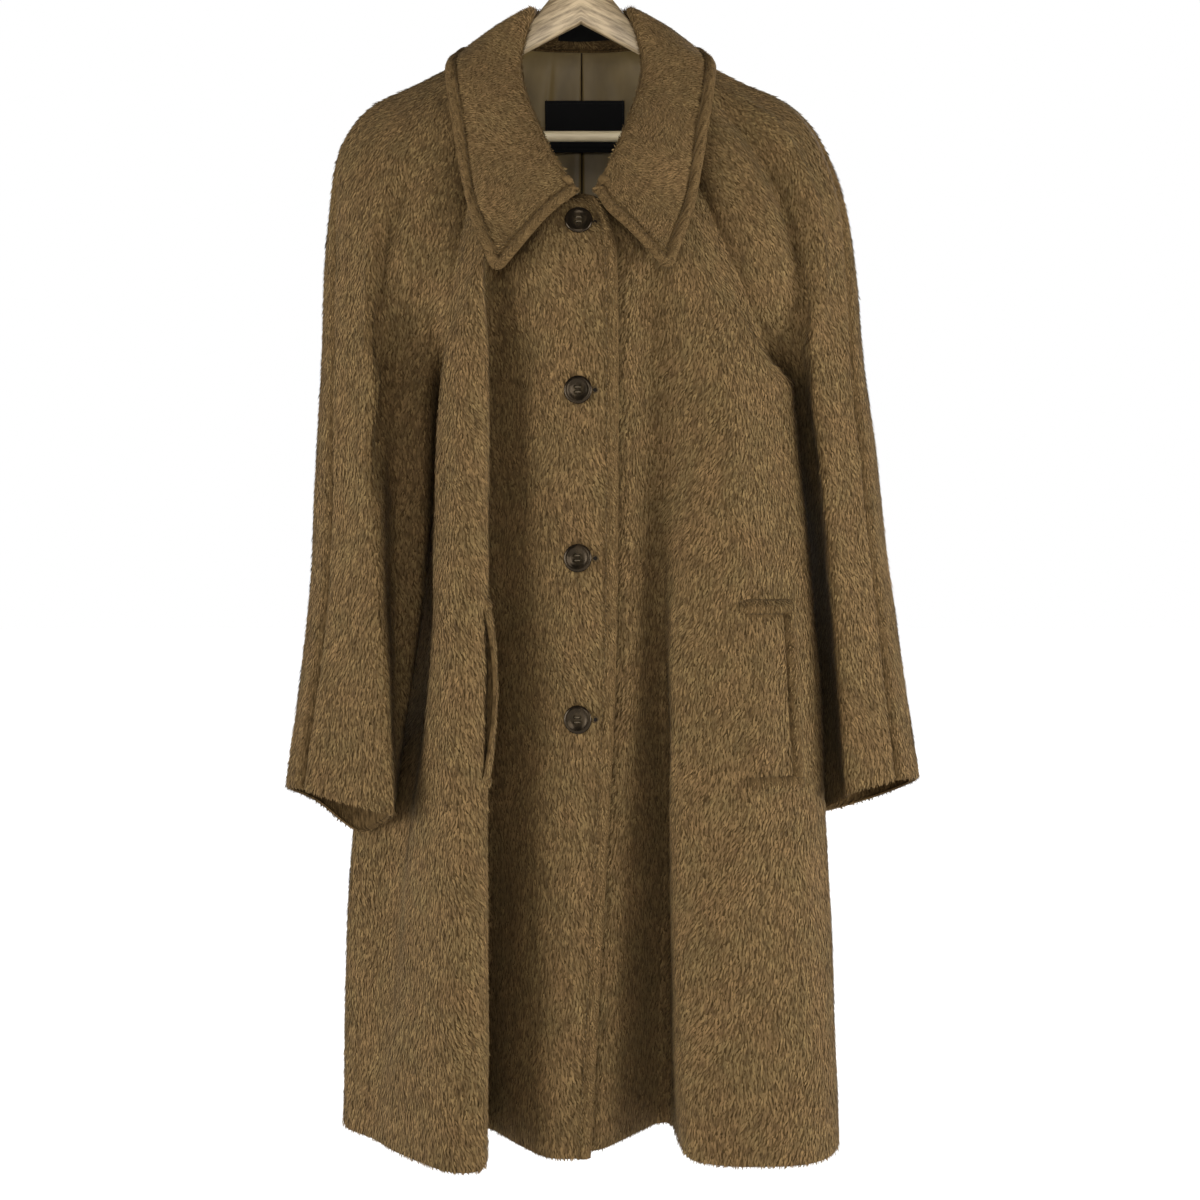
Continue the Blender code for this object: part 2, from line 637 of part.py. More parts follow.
def collar_half(side, cloth):
    """Sections of one half of the collar, from the centre back to its front end.

    Each runs from the seam up the stand, round the roll and down the fall.
    """
    keys = np.arange(len(COLLAR), dtype=float)
    at = np.linspace(0, keys[-1], (len(COLLAR) - 1) * COLLAR_STEPS + 1)
    angles = through(keys, [[line.neck] for line in COLLAR], at)[:, 0]
    rolls = through(keys, [line[2:5] for line in COLLAR], at)
    edges = through(keys, [line[5:8] for line in COLLAR], at)
    along_roll = unit(np.gradient(rolls, axis=0))
    along_edge = unit(np.gradient(edges, axis=0))
    along_roll[0] = along_edge[0] = (1.0, 0.0, 0.0)
    mirror = np.array((side, 1.0, 1.0))
    half = []
    for i, (angle, roll, edge) in enumerate(zip(angles, rolls, edges)):
        seam = np.array(neck_point(LEFT, angle))
        base = seam + COLLAR_SEAM_GAP * unit(roll - seam)
        into = unit(unit(base - roll) + unit(edge - roll))
        apart = unit(np.cross(along_roll[i], into))
        lift = unit(np.cross(along_roll[i] + along_edge[i], edge - roll))
        section = across([
            base,
            roll + COLLAR_ROLL * (into - apart),
            roll,
            roll + COLLAR_ROLL * (into + apart),
            roll + (edge - roll) * FALL_MIDDLE + lift * COLLAR_BULGE,
            edge,
        ], COLLAR_DOWN_STEPS) * mirror
        rest_on(section[sum(COLLAR_DOWN_STEPS[:3]):], lift * mirror, cloth)
        half.append(section)
    return np.array(half)


def collar_grid(cloth):
    """Visible points of the whole collar, from its right front end to its left."""
    return np.concatenate((collar_half(RIGHT, cloth)[:0:-1], collar_half(LEFT, cloth)))


def surface_at(grid, normals, x, z):
    """Point and normal where a grid, seen from the front, passes x and z."""
    corners = np.stack((grid[:-1, :-1], grid[:-1, 1:], grid[1:, 1:], grid[1:, :-1]), axis=2)
    for i, j in np.ndindex(corners.shape[:2]):
        for tri in ((0, 1, 2), (0, 2, 3)):
            a, b, c = corners[i, j][list(tri)]
            edges = np.array(((b[0] - a[0], c[0] - a[0]), (b[2] - a[2], c[2] - a[2])))
            if abs(np.linalg.det(edges)) < 1e-9:
                continue
            u, v = np.linalg.solve(edges, (x - a[0], z - a[2]))
            if u >= -1e-6 and v >= -1e-6 and u + v <= 1 + 1e-6:
                return a + u * (b - a) + v * (c - a), unit(normals[i, j] + normals[i + 1, j + 1])
    raise ValueError(f"no surface at {x}, {z}")


def patch_on(grid, normals, centre, size):
    """Points and normals of an upright patch on a grid, at even x and z."""
    points = np.zeros((PATCH_ROWS, PATCH_COLUMNS, 3))
    facing = np.zeros((PATCH_ROWS, PATCH_COLUMNS, 3))
    for i, z in enumerate(centre[1] + size[1] * np.linspace(0.5, -0.5, PATCH_ROWS)):
        for j, x in enumerate(centre[0] + size[0] * np.linspace(-0.5, 0.5, PATCH_COLUMNS)):
            points[i, j], facing[i, j] = surface_at(grid, normals, x, z)
    return points, facing


def turned(profile, sides):
    """Points and faces of a closed turned shape, from (radius, height) pairs, axis on +Z."""
    points = [(0.0, 0.0, profile[0][1])]
    for radius, height in profile[1:-1]:
        for k in range(sides):
            turn = 2 * pi * k / sides
            points.append((radius * cos(turn), radius * sin(turn), height))
    points.append((0.0, 0.0, profile[-1][1]))
    rings = len(profile) - 2
    last = len(points) - 1
    faces = []
    for k in range(sides):
        n = (k + 1) % sides
        faces.append((0, 1 + n, 1 + k))
        for ring in range(rings - 1):
            low = 1 + ring * sides
            faces.append((low + k, low + n, low + sides + n, low + sides + k))
        top = 1 + (rings - 1) * sides
        faces.append((last, top + k, top + n))
    return np.array(points), faces


def swept(path, radius, sides):
    """Points and faces of a round wire along a path in the XZ plane."""
    path = np.asarray(path, float)
    tangents = unit(np.gradient(path, axis=0))
    points = []
    for centre, tangent in zip(path, tangents):
        across_wire = np.array((-tangent[2], 0.0, tangent[0]))
        for k in range(sides):
            turn = 2 * pi * k / sides
            points.append(centre + radius * (cos(turn) * across_wire + sin(turn) * np.array((0, 1.0, 0))))
    faces = [tuple(range(sides))]
    for i in range(len(path) - 1):
        for k in range(sides):
            n = (k + 1) % sides
            low = i * sides
            faces.append((low + k, low + sides + k, low + sides + n, low + n))
    end = (len(path) - 1) * sides
    faces.append(tuple(end + k for k in range(sides - 1, -1, -1)))
    return np.array(points), faces


def crest_z(out):
    """Height of the cloth along the top of the shoulder."""
    return CREST_Z - (out - CREST_OUT) * CREST_SLOPE


def hanger_section(out):
    """Top and bottom height of the wood at a distance from the middle."""
    top = crest_z(max(out, HUMP_REACH)) - CLOTH_TO_WOOD
    hump = max(0.0, 1 - out / HUMP_REACH)
    top += (WOOD_TOP_Z - top) * hump * hump * (3 - 2 * hump)
    bottom = LUG_BOTTOM_Z if out > LUG_INNER else WOOD_APEX_Z - WOOD_UNDER_SLOPE * out
    return top, bottom


def arms_mesh():
    """Points and faces of the wooden arms: a rounded section carried from end to end."""
    half = [*np.linspace(0, HUMP_REACH, HUMP_STATIONS), *ARM_STATIONS]
    outs = [-out for out in half[:0:-1]] + half
    points = []
    for out in outs:
        top, bottom = hanger_section(abs(out))
        thick = WOOD_HALF_THICK
        if abs(out) == WOOD_END:
            thick -= END_ROUND / 2
            top -= END_ROUND
            bottom += END_ROUND
        for k in range(WOOD_SIDES):
            turn = 2 * pi * (k + 0.5) / WOOD_SIDES
            centre = top - thick if sin(turn) > 0 else bottom + thick
            points.append((out, thick * cos(turn), centre + thick * sin(turn)))
    faces = [tuple(range(WOOD_SIDES - 1, -1, -1))]
    for i in range(len(outs) - 1):
        for k in range(WOOD_SIDES):
            n = (k + 1) % WOOD_SIDES
            low = i * WOOD_SIDES
            faces.append((low + k, low + n, low + WOOD_SIDES + n, low + WOOD_SIDES + k))
    end = (len(outs) - 1) * WOOD_SIDES
    faces.append(tuple(end + k for k in range(WOOD_SIDES)))
    return np.array(points), faces


def build_hanger(parent):
    """Wooden arms with a trouser bar, and the wire hook whose crown is the origin."""
    oak = material("oak", OAK, 0.45)
    steel = material("steel_wire", STEEL, 0.3, 1.0)
    points, faces = arms_mesh()
    add_object("hanger_arms", points, faces, oak, parent)

    reach = LUG_INNER - LAID_GAP
    points, faces = swept([(-reach, 0, BAR_Z), (0, 0, BAR_Z), (reach, 0, BAR_Z)], BAR_RADIUS, BAR_SIDES)
    add_object("hanger_bar", points, faces, oak, parent)

    ring = HOOK_INNER_RADIUS + WIRE_RADIUS
    arc = [(ring * cos(radians(a)), 0.0, -HOOK_INNER_RADIUS + ring * sin(radians(a)))
           for a in np.linspace(HOOK_FROM, HOOK_TO, HOOK_STATIONS)]
    foot = WOOD_TOP_Z + LAID_GAP
    stem = [(0.0, 0.0, foot), (0.0, 0.0, foot + STEM_RISE), (STEM_LEAN, 0.0, foot + 2 * STEM_RISE)]
    points, faces = swept(stem + arc, WIRE_RADIUS, WIRE_SIDES)
    add_object("hanger_hook", points, faces, steel, parent)


def build_buttons(grid, normals, parent):
    """Four horn buttons down the right front, seated on the cloth."""
    horn = material("dark_horn", HORN, 0.25)
    profile = [(BUTTON_RADIUS - ring.inset, ring.height) for ring in BUTTON_RINGS]
    points, faces = turned(profile, BUTTON_SIDES)
    for number, z in enumerate(BUTTON_Z, 1):
        seat, axis = surface_at(grid, normals, BUTTON_X, z)
        level = unit(np.cross((0.0, 0.0, 1.0), axis))
        upright = np.cross(axis, level)
        placed = seat + points[:, :1] * level + points[:, 1:2] * upright + points[:, 2:] * axis
        add_object(f"button_{number}", placed, faces, horn, parent)


def line_column(table, steps, name):
    """Column of a grid where a named line runs."""
    index = [line.name for line in table].index(name)
    return sum(steps[:index])


def build_welts(grids, normals, finish, parent):
    """Pocket welts, each made from the front's own points."""
    rows = UPPER_ROWS + LOWER_ROWS
    top = rows.index(CHEST + CHEST_Z - WELT_TOP_Z)
    bottom = rows.index(CHEST + CHEST_Z - WELT_BOTTOM_Z)
    first = line_column(FRONT_LEFT, LEFT_STEPS, "welt_inner")
    last = line_column(FRONT_LEFT, LEFT_STEPS, "welt_outer")
    block = (slice(top, bottom + 1), slice(first, last + 1))
    add_laid("welt_left", grids["front_left"][block], normals["front_left"][block],
             WELT_WALL, finish, parent, flip=True)
    last = line_column(FRONT_RIGHT, RIGHT_STEPS, "fold_edge")
    block = (slice(top, bottom + 1), slice(last - 2, last + 1))
    add_laid("welt_right", grids["front_right"][block], normals["front_right"][block],
             WELT_WALL, finish, parent)


def build_neck_inside(grids, normals, parent):
    """The lining where it shows in the neck, and the bare label sewn on it."""
    satin = material("lining_satin", SATIN, 0.5)
    black = material("black_tape", BLACK, 0.7)
    block = (slice(0, LINING_BOTTOM_ROW + 1), slice(BACK_STEPS[0], -BACK_STEPS[-1]))
    inside = (grids["back"] - normals["back"] * cloth_wall(grids["back"]))[block]
    inside[0] += LINING_TOP * (inside[1] - inside[0])
    inward = -normals["back"][block]
    add_laid("lining", inside, inward, LINING_WALL, satin, parent, flip=True, gap=TRIM_GAP)
    face = inside + inward * (TRIM_GAP + LINING_WALL)
    points, facing = patch_on(face, inward, LABEL_CENTRE, LABEL_SIZE)
    add_laid("label", points, facing, TRIM_WALL, black, parent, flip=True, gap=TRIM_GAP)
    return black


def build_collar(grids, wool, black, parent):
    """The collar, and the hang loop inside its stand."""
    grid = collar_grid(cloth_tree(grids))
    normals = -unit(grid_normals(grid))
    add_wall("collar", grid, normals, COLLAR_WALL, wool, parent, flip=True)
    middle = len(grid) // 2
    stand = (slice(middle - LOOP_SECTIONS, middle + LOOP_SECTIONS + 1), slice(0, STAND_COLUMNS))
    points, facing = patch_on(grid[stand], normals[stand], LOOP_CENTRE, LOOP_SIZE)
    add_laid("hang_loop", points, facing, TRIM_WALL, black, parent, flip=True, gap=TRIM_GAP)


def build_coat(parent):
    """All the cloth, and what is sewn on it."""
    wool = material("brushed_wool", WOOL, 0.95)
    grids = {
        "front_right": front_grid(RIGHT, FRONT_RIGHT, RIGHT_STEPS),
        "front_left": front_grid(LEFT, FRONT_LEFT, LEFT_STEPS),
        "back": back_grid(BACK_STEPS),
    }
    for side, word in ((RIGHT, "right"), (LEFT, "left")):
        front, back = sleeve_grids(side, SLEEVE_STEPS)
        grids[f"sleeve_{word}_front"] = front
        grids[f"sleeve_{word}_back"] = back
    mirrored = ("front_left", "sleeve_left_front", "sleeve_left_back")
    normals = joined_normals(grids, mirrored)
    for name, grid in grids.items():
        parted = part_seams(grid, not name.startswith("front"))
        add_wall(name, parted, normals[name], cloth_wall(grid), wool, parent, flip=name in mirrored)
    build_welts(grids, normals, wool, parent)
    build_buttons(grids["front_right"], normals["front_right"], parent)
    black = build_neck_inside(grids, normals, parent)
    build_collar(grids, wool, black, parent)


def main():
    """Clear the scene and build the coat on its hanger."""
    for old in list(bpy.data.objects):
        bpy.data.objects.remove(old, do_unlink=True)
    root = bpy.data.objects.new("coat_on_hanger", None)
    bpy.context.scene.collection.objects.link(root)
    build_coat(root)
    build_hanger(root)


main()
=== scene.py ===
"""Looks of a balmacaan coat of brushed wool, hanging on a wooden hanger.

Sizes are in millimetres and become metres when a mesh is made. The front faces -Y, the wearer's
right is -X, and the origin is the inner crown of the hanger's hook. Each cloth panel is a thin
shell through named lines that run from the neck to the hem or the cuff, with soft creases, seams
and a nap of short locks laid over it.
"""
import logging
from collections.abc import Callable, Sequence
from dataclasses import dataclass, field
from enum import Enum
from math import cos, pi, radians, sin
from typing import Any, NamedTuple

import bpy
import numpy as np
from mathutils import Matrix, Vector
from mathutils.bvhtree import BVHTree


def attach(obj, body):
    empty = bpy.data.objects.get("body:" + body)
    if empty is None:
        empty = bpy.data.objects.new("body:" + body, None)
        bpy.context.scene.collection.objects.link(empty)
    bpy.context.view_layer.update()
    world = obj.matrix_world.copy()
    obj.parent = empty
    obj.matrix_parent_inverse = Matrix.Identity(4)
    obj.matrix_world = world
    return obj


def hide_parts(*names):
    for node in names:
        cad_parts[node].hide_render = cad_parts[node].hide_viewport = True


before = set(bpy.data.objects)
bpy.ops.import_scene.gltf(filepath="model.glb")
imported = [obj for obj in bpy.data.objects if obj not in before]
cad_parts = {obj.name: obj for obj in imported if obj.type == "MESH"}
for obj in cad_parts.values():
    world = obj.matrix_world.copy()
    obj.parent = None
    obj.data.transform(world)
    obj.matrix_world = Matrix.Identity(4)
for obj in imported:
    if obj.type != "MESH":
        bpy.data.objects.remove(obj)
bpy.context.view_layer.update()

LOG = logging.getLogger("coat")
MM = 0.001
BODY = "root"
RIM_ANGLE = 60.0
IN_FRONT_Y = -300.0
Grid = np.ndarray
Point = tuple[float, float, float]
Pair = tuple[float, float]
Colour = Point
Rows = Sequence[tuple[Grid, Grid]]
Curve = Callable[[Any], Grid]
Quads = list[tuple[int, int, int, int]]
Solid = tuple[list, list]
Piece = bpy.types.Object
Material = bpy.types.Material


class Side(Enum):
    """The wearer's side of the coat; its value is the sign of X."""

    RIGHT = -1
    LEFT = 1


class Edge(Enum):
    """How an edge of a cloth panel is finished."""

    SEAM = "sewn to a neighbour"
    BRUSHED = "sewn to a neighbour and brushed over"
    FOLDED = "turned in and felled"
    STITCHED = "turned in and topstitched"


# Curves


def hermite(keys: Grid, values: Grid, slopes: Grid, at: Any) -> Grid:
    """Points of the cubic pieces that pass the values with the given slopes.

    Args:
        keys: Distances at which the values lie, rising.
        values: One point for each key.
        slopes: The curve's slope at each key.
        at: Distances to find.

    Returns:
        One point for each distance.
    """
    at = np.atleast_1d(np.asarray(at, float))
    first = np.clip(np.searchsorted(keys, at, "right") - 1, 0, len(keys) - 2)
    span = (keys[first + 1] - keys[first])[:, None]
    t = (at - keys[first])[:, None] / span
    start = (1 + 2 * t) * (1 - t) ** 2 * values[first] + t * (1 - t) ** 2 * span * slopes[first]
    end = t ** 2 * (3 - 2 * t) * values[first + 1] + t ** 2 * (t - 1) * span * slopes[first + 1]
    return start + end


def through(keys: Any, values: Any, at: Any) -> Grid:
    """The smooth curve that passes the values at their keys.

    Args:
        keys: Distances at which the values lie, rising.
        values: One point for each key.
        at: Distances to find.

    Returns:
        One point for each distance.
    """
    keys = np.asarray(keys, float)
    values = np.asarray(values, float)
    return hermite(keys, values, np.gradient(values, keys, axis=0), at)


def steady(keys: Any, values: Any, at: Any) -> Grid:
    """As `through`, but with slopes held so that the curve never swings past its values.

    Args:
        keys: Distances at which the values lie, rising.
        values: One point for each key.
        at: Distances to find.

    Returns:
        One point for each distance.
    """
    keys = np.asarray(keys, float)
    values = np.asarray(values, float)
    slopes = np.gradient(values, keys, axis=0)
    secants = np.diff(values, axis=0) / np.diff(keys)[:, None]
    before, after = secants[:-1], secants[1:]
    most = np.where(before * after > 0, 3 * np.minimum(abs(before), abs(after)), 0.0)
    slopes[1:-1] = np.clip(slopes[1:-1], -most, most)
    return hermite(keys, values, slopes, at)


def across(points: Any, steps: Sequence[int]) -> Grid:
    """A smooth row through the points.

    Args:
        points: Points that the row passes.
        steps: Number of stretches from each point to the next.

    Returns:
        The row's points.
    """
    points = np.asarray(points, float)
    chords = np.sqrt(np.linalg.norm(np.diff(points, axis=0), axis=1))
    keys = np.concatenate(([0.0], np.cumsum(chords)))
    at = [key + chord * np.arange(n) / n for key, chord, n in zip(keys, chords, steps)]
    return through(keys, points, np.concatenate(at + [keys[-1:]]))


def unit(vectors: Grid) -> Grid:
    """The vectors at length one."""
    return vectors / np.maximum(np.linalg.norm(vectors, axis=-1, keepdims=True), 1e-9)


def closest(values: Grid, at: float) -> int:
    """Index of the value nearest to another."""
    return int(abs(values - at).argmin())


def resampled(grid: Grid, row_steps: int, column_steps: int) -> Grid:
    """A grid of points with each of its stretches divided.

    Args:
        grid: Rows by columns of points.
        row_steps: Stretches made of each one between rows.
        column_steps: Stretches made of each one between columns.

    Returns:
        The finer grid, through the same points.
    """
    count, width = grid.shape[:2]
    rows = np.linspace(0, count - 1, (count - 1) * row_steps + 1)
    columns = np.linspace(0, width - 1, (width - 1) * column_steps + 1)
    long = through(np.arange(count), grid.reshape(count, -1), rows).reshape(-1, width, 3)
    return np.stack([through(np.arange(width), row, columns) for row in long])


def refined(grid: Grid, axis: int, first: int, last: int, steps: int) -> Grid:
    """A grid with some of its stretches divided.

    Args:
        grid: Rows by columns of points.
        axis: 0 to divide stretches between rows, 1 between columns.
        first: The first stretch to divide.
        last: The stretch after the last one to divide; both may count back from the end.
        steps: Stretches made of each.

    Returns:
        The grid with more rows or columns, through the same points.
    """
    turned = np.moveaxis(grid, axis, 0)
    count = len(turned)
    low, high = first % count, last % count
    counts = [steps if low <= k < high else 1 for k in range(count - 1)]
    at = [k + np.arange(n) / n for k, n in enumerate(counts)]
    finer = through(np.arange(count), turned.reshape(count, -1), np.concatenate(at + [[count - 1.0]]))
    return np.moveaxis(finer.reshape(-1, *turned.shape[1:]), 0, axis)


class Wave(NamedTuple):
    """One wave of an uneven field: its direction, length in millimetres and start."""

    rate: Point
    length: float
    phase: float


def ripple(points: Grid, waves: Sequence[Wave]) -> Grid:
    """A smooth value of about -1 to 1, the same wherever two panels share a point."""
    total = sum(np.sin(points @ (np.array(w.rate) / w.length) * 2 * pi + w.phase) for w in waves)
    return total / len(waves)


CLOTH_WAVES = (
    Wave((0.9, 0.3, 0.35), 96.0, 0.4), Wave((0.6, -0.5, 0.62), 71.0, 2.1),
    Wave((-0.5, 0.7, 0.5), 118.0, 4.4), Wave((0.95, 0.2, -0.24), 53.0, 1.2),
)
COMB_WAVES = (
    Wave((0.8, 0.2, 0.56), 64.0, 0.0), Wave((-0.6, 0.4, 0.69), 88.0, 1.7),
    Wave((0.3, -0.7, 0.65), 43.0, 3.3), Wave((0.95, 0.1, -0.3), 132.0, 5.0),
)


# Sizes of the cut


@dataclass(frozen=True)
class Levels:
    """Heights down the coat, and distances down the cloth from the neckline."""

    yoke_z: float = -361.0
    back_yoke_z: float = -285.0
    chest_z: float = -455.0
    elbow_z: float = -640.0
    pocket_z: float = -740.0
    low_z: float = -880.0
    hem_z: float = -1154.0
    welt_top_z: float = -658.0
    welt_bottom_z: float = -825.0
    yoke: float = 120.0
    chest: float = 215.0
    shoulder: float = 45.0
    tip: float = 82.0
    cap: float = 125.0
    elbow: float = 400.0
    cuff: float = 595.0
    pitch: float = 7.5

    def down(self, z: float) -> float:
        """Distance down the cloth of a height below the chest."""
        return self.chest + self.chest_z - z

    @property
    def body(self) -> tuple[float, ...]:
        """Distances at which the lines of the body are given."""
        lower = (self.down(z) for z in (self.pocket_z, self.low_z, self.hem_z))
        return (0.0, self.yoke, self.chest, *lower)

    @property
    def sleeve(self) -> tuple[float, ...]:
        """Distances at which the lines of a sleeve are given."""
        return (0.0, self.shoulder, self.tip, self.cap, self.chest, self.elbow, self.cuff)

    @property
    def body_rows(self) -> Grid:
        """Rows from the neckline to the hem."""
        return np.concatenate((self.upper_rows, self.lower_rows))

    def stretch(self, start: float, end: float) -> Grid:
        """Evenly spaced distances after the start, up to the end."""
        return np.linspace(start, end, round((end - start) / self.pitch) + 1)[1:]

    @property
    def upper_rows(self) -> Grid:
        """Rows from the neckline to the underarm."""
        return np.concatenate(([0.0], self.stretch(0.0, self.chest)))

    @property
    def lower_rows(self) -> Grid:
        """Rows from the underarm to the hem."""
        return self.stretch(self.chest, self.down(self.hem_z))

    @property
    def sleeve_rows(self) -> Grid:
        """Rows from the underarm to the cuff."""
        return self.stretch(self.chest, self.cuff)


LEVELS = Levels()


@dataclass(frozen=True)
class Neckline:
    """The seam between collar and body."""

    half_width: float = 76.0
    side_z: float = -117.0
    front_y: float = -82.0
    front_drop: float = 183.0
    ease: float = 1.3
    back_y: float = 48.0
    back_rise: float = 3.0

    def point(self, side: int, angle: float) -> Point:
        """A point of the seam.

        Args:
            side: The sign of X.
            angle: Degrees round the neck: 90 is the centre front, 0 the side, -90 the centre back.

        Returns:
            The point in millimetres.
        """
        turn = radians(angle)
        out = side * self.half_width * cos(turn)
        if angle >= 0:
            return (out, self.front_y * sin(turn), self.side_z - self.front_drop * sin(turn) ** self.ease)
        return (out, -self.back_y * sin(turn), self.side_z - self.back_rise * sin(turn))


NECK = Neckline()


class BodyLine(NamedTuple):
    """A line down a front or the back: out from the middle and depth at each level."""

    name: str
    neck: float
    yoke: float
    yoke_y: float
    chest: float
    chest_y: float
    pocket: float
    pocket_y: float
    low: float
    low_y: float
    hem: float
    hem_y: float


class SleeveLine(NamedTuple):
    """A line along a sleeve; `drop` is how far it lies from the overarm to the raglan seam."""

    name: str
    neck: float
    drop: float
    shoulder: float
    shoulder_y: float
    tip: float
    tip_y: float
    cap: float
    cap_y: float
    chest: float
    chest_y: float
    elbow: float
    elbow_y: float
    cuff: float
    cuff_y: float


class SeamPoint(NamedTuple):
    """A point of a raglan seam."""

    down: float
    out: float
    y: float
    z: float


class SidePoint(NamedTuple):
    """A point of a side or under seam at one level."""

    level: float
    out: float
    y: float


class CuffSlope(NamedTuple):
    """Where a cuff's edge lies, and how it slopes."""

    out: float
    y: float
    z: float
    per_y: float
    per_out: float
    inner_lift: float
    inner_reach: float
    outer_lift: float
    outer_from: float


class CollarLine(NamedTuple):
    """A section of the collar: its roll at the neck and its free edge."""

    name: str
    neck: float
    roll: float
    roll_y: float
    roll_z: float
    edge: float
    edge_y: float
    edge_z: float


FRONT_RIGHT = (
    BodyLine("edge", 90, -34, -98, -35, -102, -32, -109, -25, -110, -10, -110),
    BodyLine("placket", 84, 0, -100, 0, -103, 0, -110, 8, -110, 26, -109),
    BodyLine("slope", 72, 42, -96, 41, -92, 41, -88, 46, -84, 55, -78),
    BodyLine("valley", 60, 84, -74, 82, -64, 84, -58, 86, -48, 90, -34),
    BodyLine("fold_edge", 54, 88, -104, 84, -106, 84, -118, 84, -124, 83, -136),
    BodyLine("ridge", 46, 95, -102, 104, -109, 108, -127, 108, -134, 108, -143),
    BodyLine("fold_outer", 36, 101, -94, 126, -84, 134, -102, 148, -97, 164, -96),
    BodyLine("tuck", 27, 107, -88, 120, -46, 139, -50, 166, -46, 192, -60),
    BodyLine("side", 20, 111, -82, 126, -12, 148, -2, 215, -12, 222, -30),
)
FRONT_LEFT = (
    BodyLine("edge", 92, -14, -87, -16, -90, -12, -96, -12, -96, -14, -96),
    BodyLine("under_lap", 84, 12, -89, 12, -94, 12, -99, 8, -99, 0, -98),
    BodyLine("lap_edge", 76, 42, -86, 42, -90, 40, -95, 32, -93, 18, -87),
    BodyLine("valley", 66, 64, -83, 66, -83, 78, -68, 82, -48, 80, -20),
    BodyLine("fold_edge", 56, 92, -88, 97, -94, 84, -106, 86, -110, 96, -110),
    BodyLine("ridge", 51, 100, -86, 112, -98, 108, -118, 110, -122, 118, -125),
    BodyLine("welt_inner", 44, 108, -83, 128, -99, 144, -121, 150, -127, 158, -130),
    BodyLine("welt_outer", 36, 118, -78, 172, -78, 192, -102, 200, -114, 208, -120),
    BodyLine("turn", 28, 125, -74, 196, -52, 219, -72, 225, -76, 233, -88),
    BodyLine("side", 20, 132, -70, 190, -25, 212, -25, 225, -30, 236, -35),
)
BACK = (
    BodyLine("side_right", -34, -108, 66, -124, 42, -164, 66, -209, 50, -220, 44),
    BodyLine("fold_right", -50, -88, 72, -98, 68, -130, 88, -160, 90, -166, 98),
    BodyLine("hollow_right", -70, -46, 74, -50, 72, -66, 72, -82, 70, -88, 72),
    BodyLine("centre", -90, 0, 76, 2, 80, 4, 94, 4, 100, 4, 108),
    BodyLine("hollow_left", -70, 48, 74, 60, 72, 76, 74, 84, 74, 86, 74),
    BodyLine("fold_left", -50, 92, 72, 122, 80, 140, 92, 152, 98, 158, 104),
    BodyLine("side_left", -34, 112, 67, 178, 48, 198, 64, 212, 66, 222, 62),
)
SLEEVE = {
    Side.RIGHT: (
        SleeveLine("under", 12, .86, 100, -46, 118, -61, 130, -70, 142, -42, 149, -40, 168, -95),
        SleeveLine("tuck", 9, .66, 116, -44, 142, -60, 158, -68, 172, -46, 172, -50, 165, -112),
        SleeveLine("ridge", 6, .42, 131, -35, 167, -50, 187, -62, 189, -76, 180, -94, 164, -125),
        SleeveLine("front", 3, .18, 143, -18, 189, -30, 213, -42, 218, -60, 218, -74, 216, -113),
        SleeveLine("overarm", 0, 0, 149, -2, 206, -4, 234, -12, 233, -44, 235, -57, 252, -94),
        SleeveLine("outer", -5, 0, 147, 8, 205, 9, 237, 8, 249, -8, 256, -18, 270, -64),
        SleeveLine("back_outer", -10, .16, 138, 22, 190, 28, 224, 34, 240, 36, 243, 28, 250, -30),
        SleeveLine("back", -15, .5, 118, 40, 158, 50, 188, 60, 196, 66, 199, 40, 208, -26),
        SleeveLine("back_inner", -20, .8, 100, 46, 126, 58, 148, 68, 154, 46, 165, 14, 182, -38),
    ),
    Side.LEFT: (
        SleeveLine("under", 12, .86, 100, -46, 121, -61, 150, -68, 206, -28, 226, -35, 237, -72),
        SleeveLine("tuck", 9, .66, 116, -44, 145, -60, 178, -65, 209, -46, 227, -60, 238, -92),
        SleeveLine("ridge", 6, .42, 131, -35, 169, -49, 200, -57, 213, -71, 229, -88, 239, -106),
        SleeveLine("front", 3, .18, 143, -18, 190, -29, 222, -38, 240, -60, 259, -76, 275, -99),
        SleeveLine("overarm", 0, 0, 149, -2, 206, -4, 240, -13, 256, -47, 272, -63, 288, -92),
        SleeveLine("outer", -5, 0, 147, 8, 206, 9, 245, 9, 273, -8, 293, -20, 313, -56),
        SleeveLine("back_outer", -10, .16, 138, 22, 191, 28, 232, 36, 268, 44, 288, 30, 304, -14),
        SleeveLine("back", -15, .5, 118, 40, 158, 50, 194, 62, 234, 76, 255, 60, 273, 6),
        SleeveLine("back_inner", -20, .8, 100, 46, 126, 58, 152, 70, 204, 58, 226, 46, 236, -2),
    ),
}
CUFF_SLOPE = {
    Side.RIGHT: CuffSlope(164, -125, -846, -.45, .31, .29, 40, .16, 210),
    Side.LEFT: CuffSlope(239, -106, -830, -.28, .29, 0, 40, 0, 280),
}
COLLAR = (
    CollarLine("centre_back", -90, 0, 46, -75, 0, 74, -150),
    CollarLine("back", -55, 30, 36, -78, 62, 66, -147),
    CollarLine("nape", -24, 43, 18, -86, 98, 44, -138),
    CollarLine("shoulder", 2, 45, -9, -97, 118, 14, -128),
    CollarLine("neck_side", 13.5, 55.5, -25, -146, 127, -12, -153),
    CollarLine("chest_side", 31, 49, -47, -190, 118, -52, -218),
    CollarLine("chest", 55, 26, -76, -249, 102, -78, -298),
    CollarLine("end", 87, 4, -93, -290, 72, -106, -362),
)


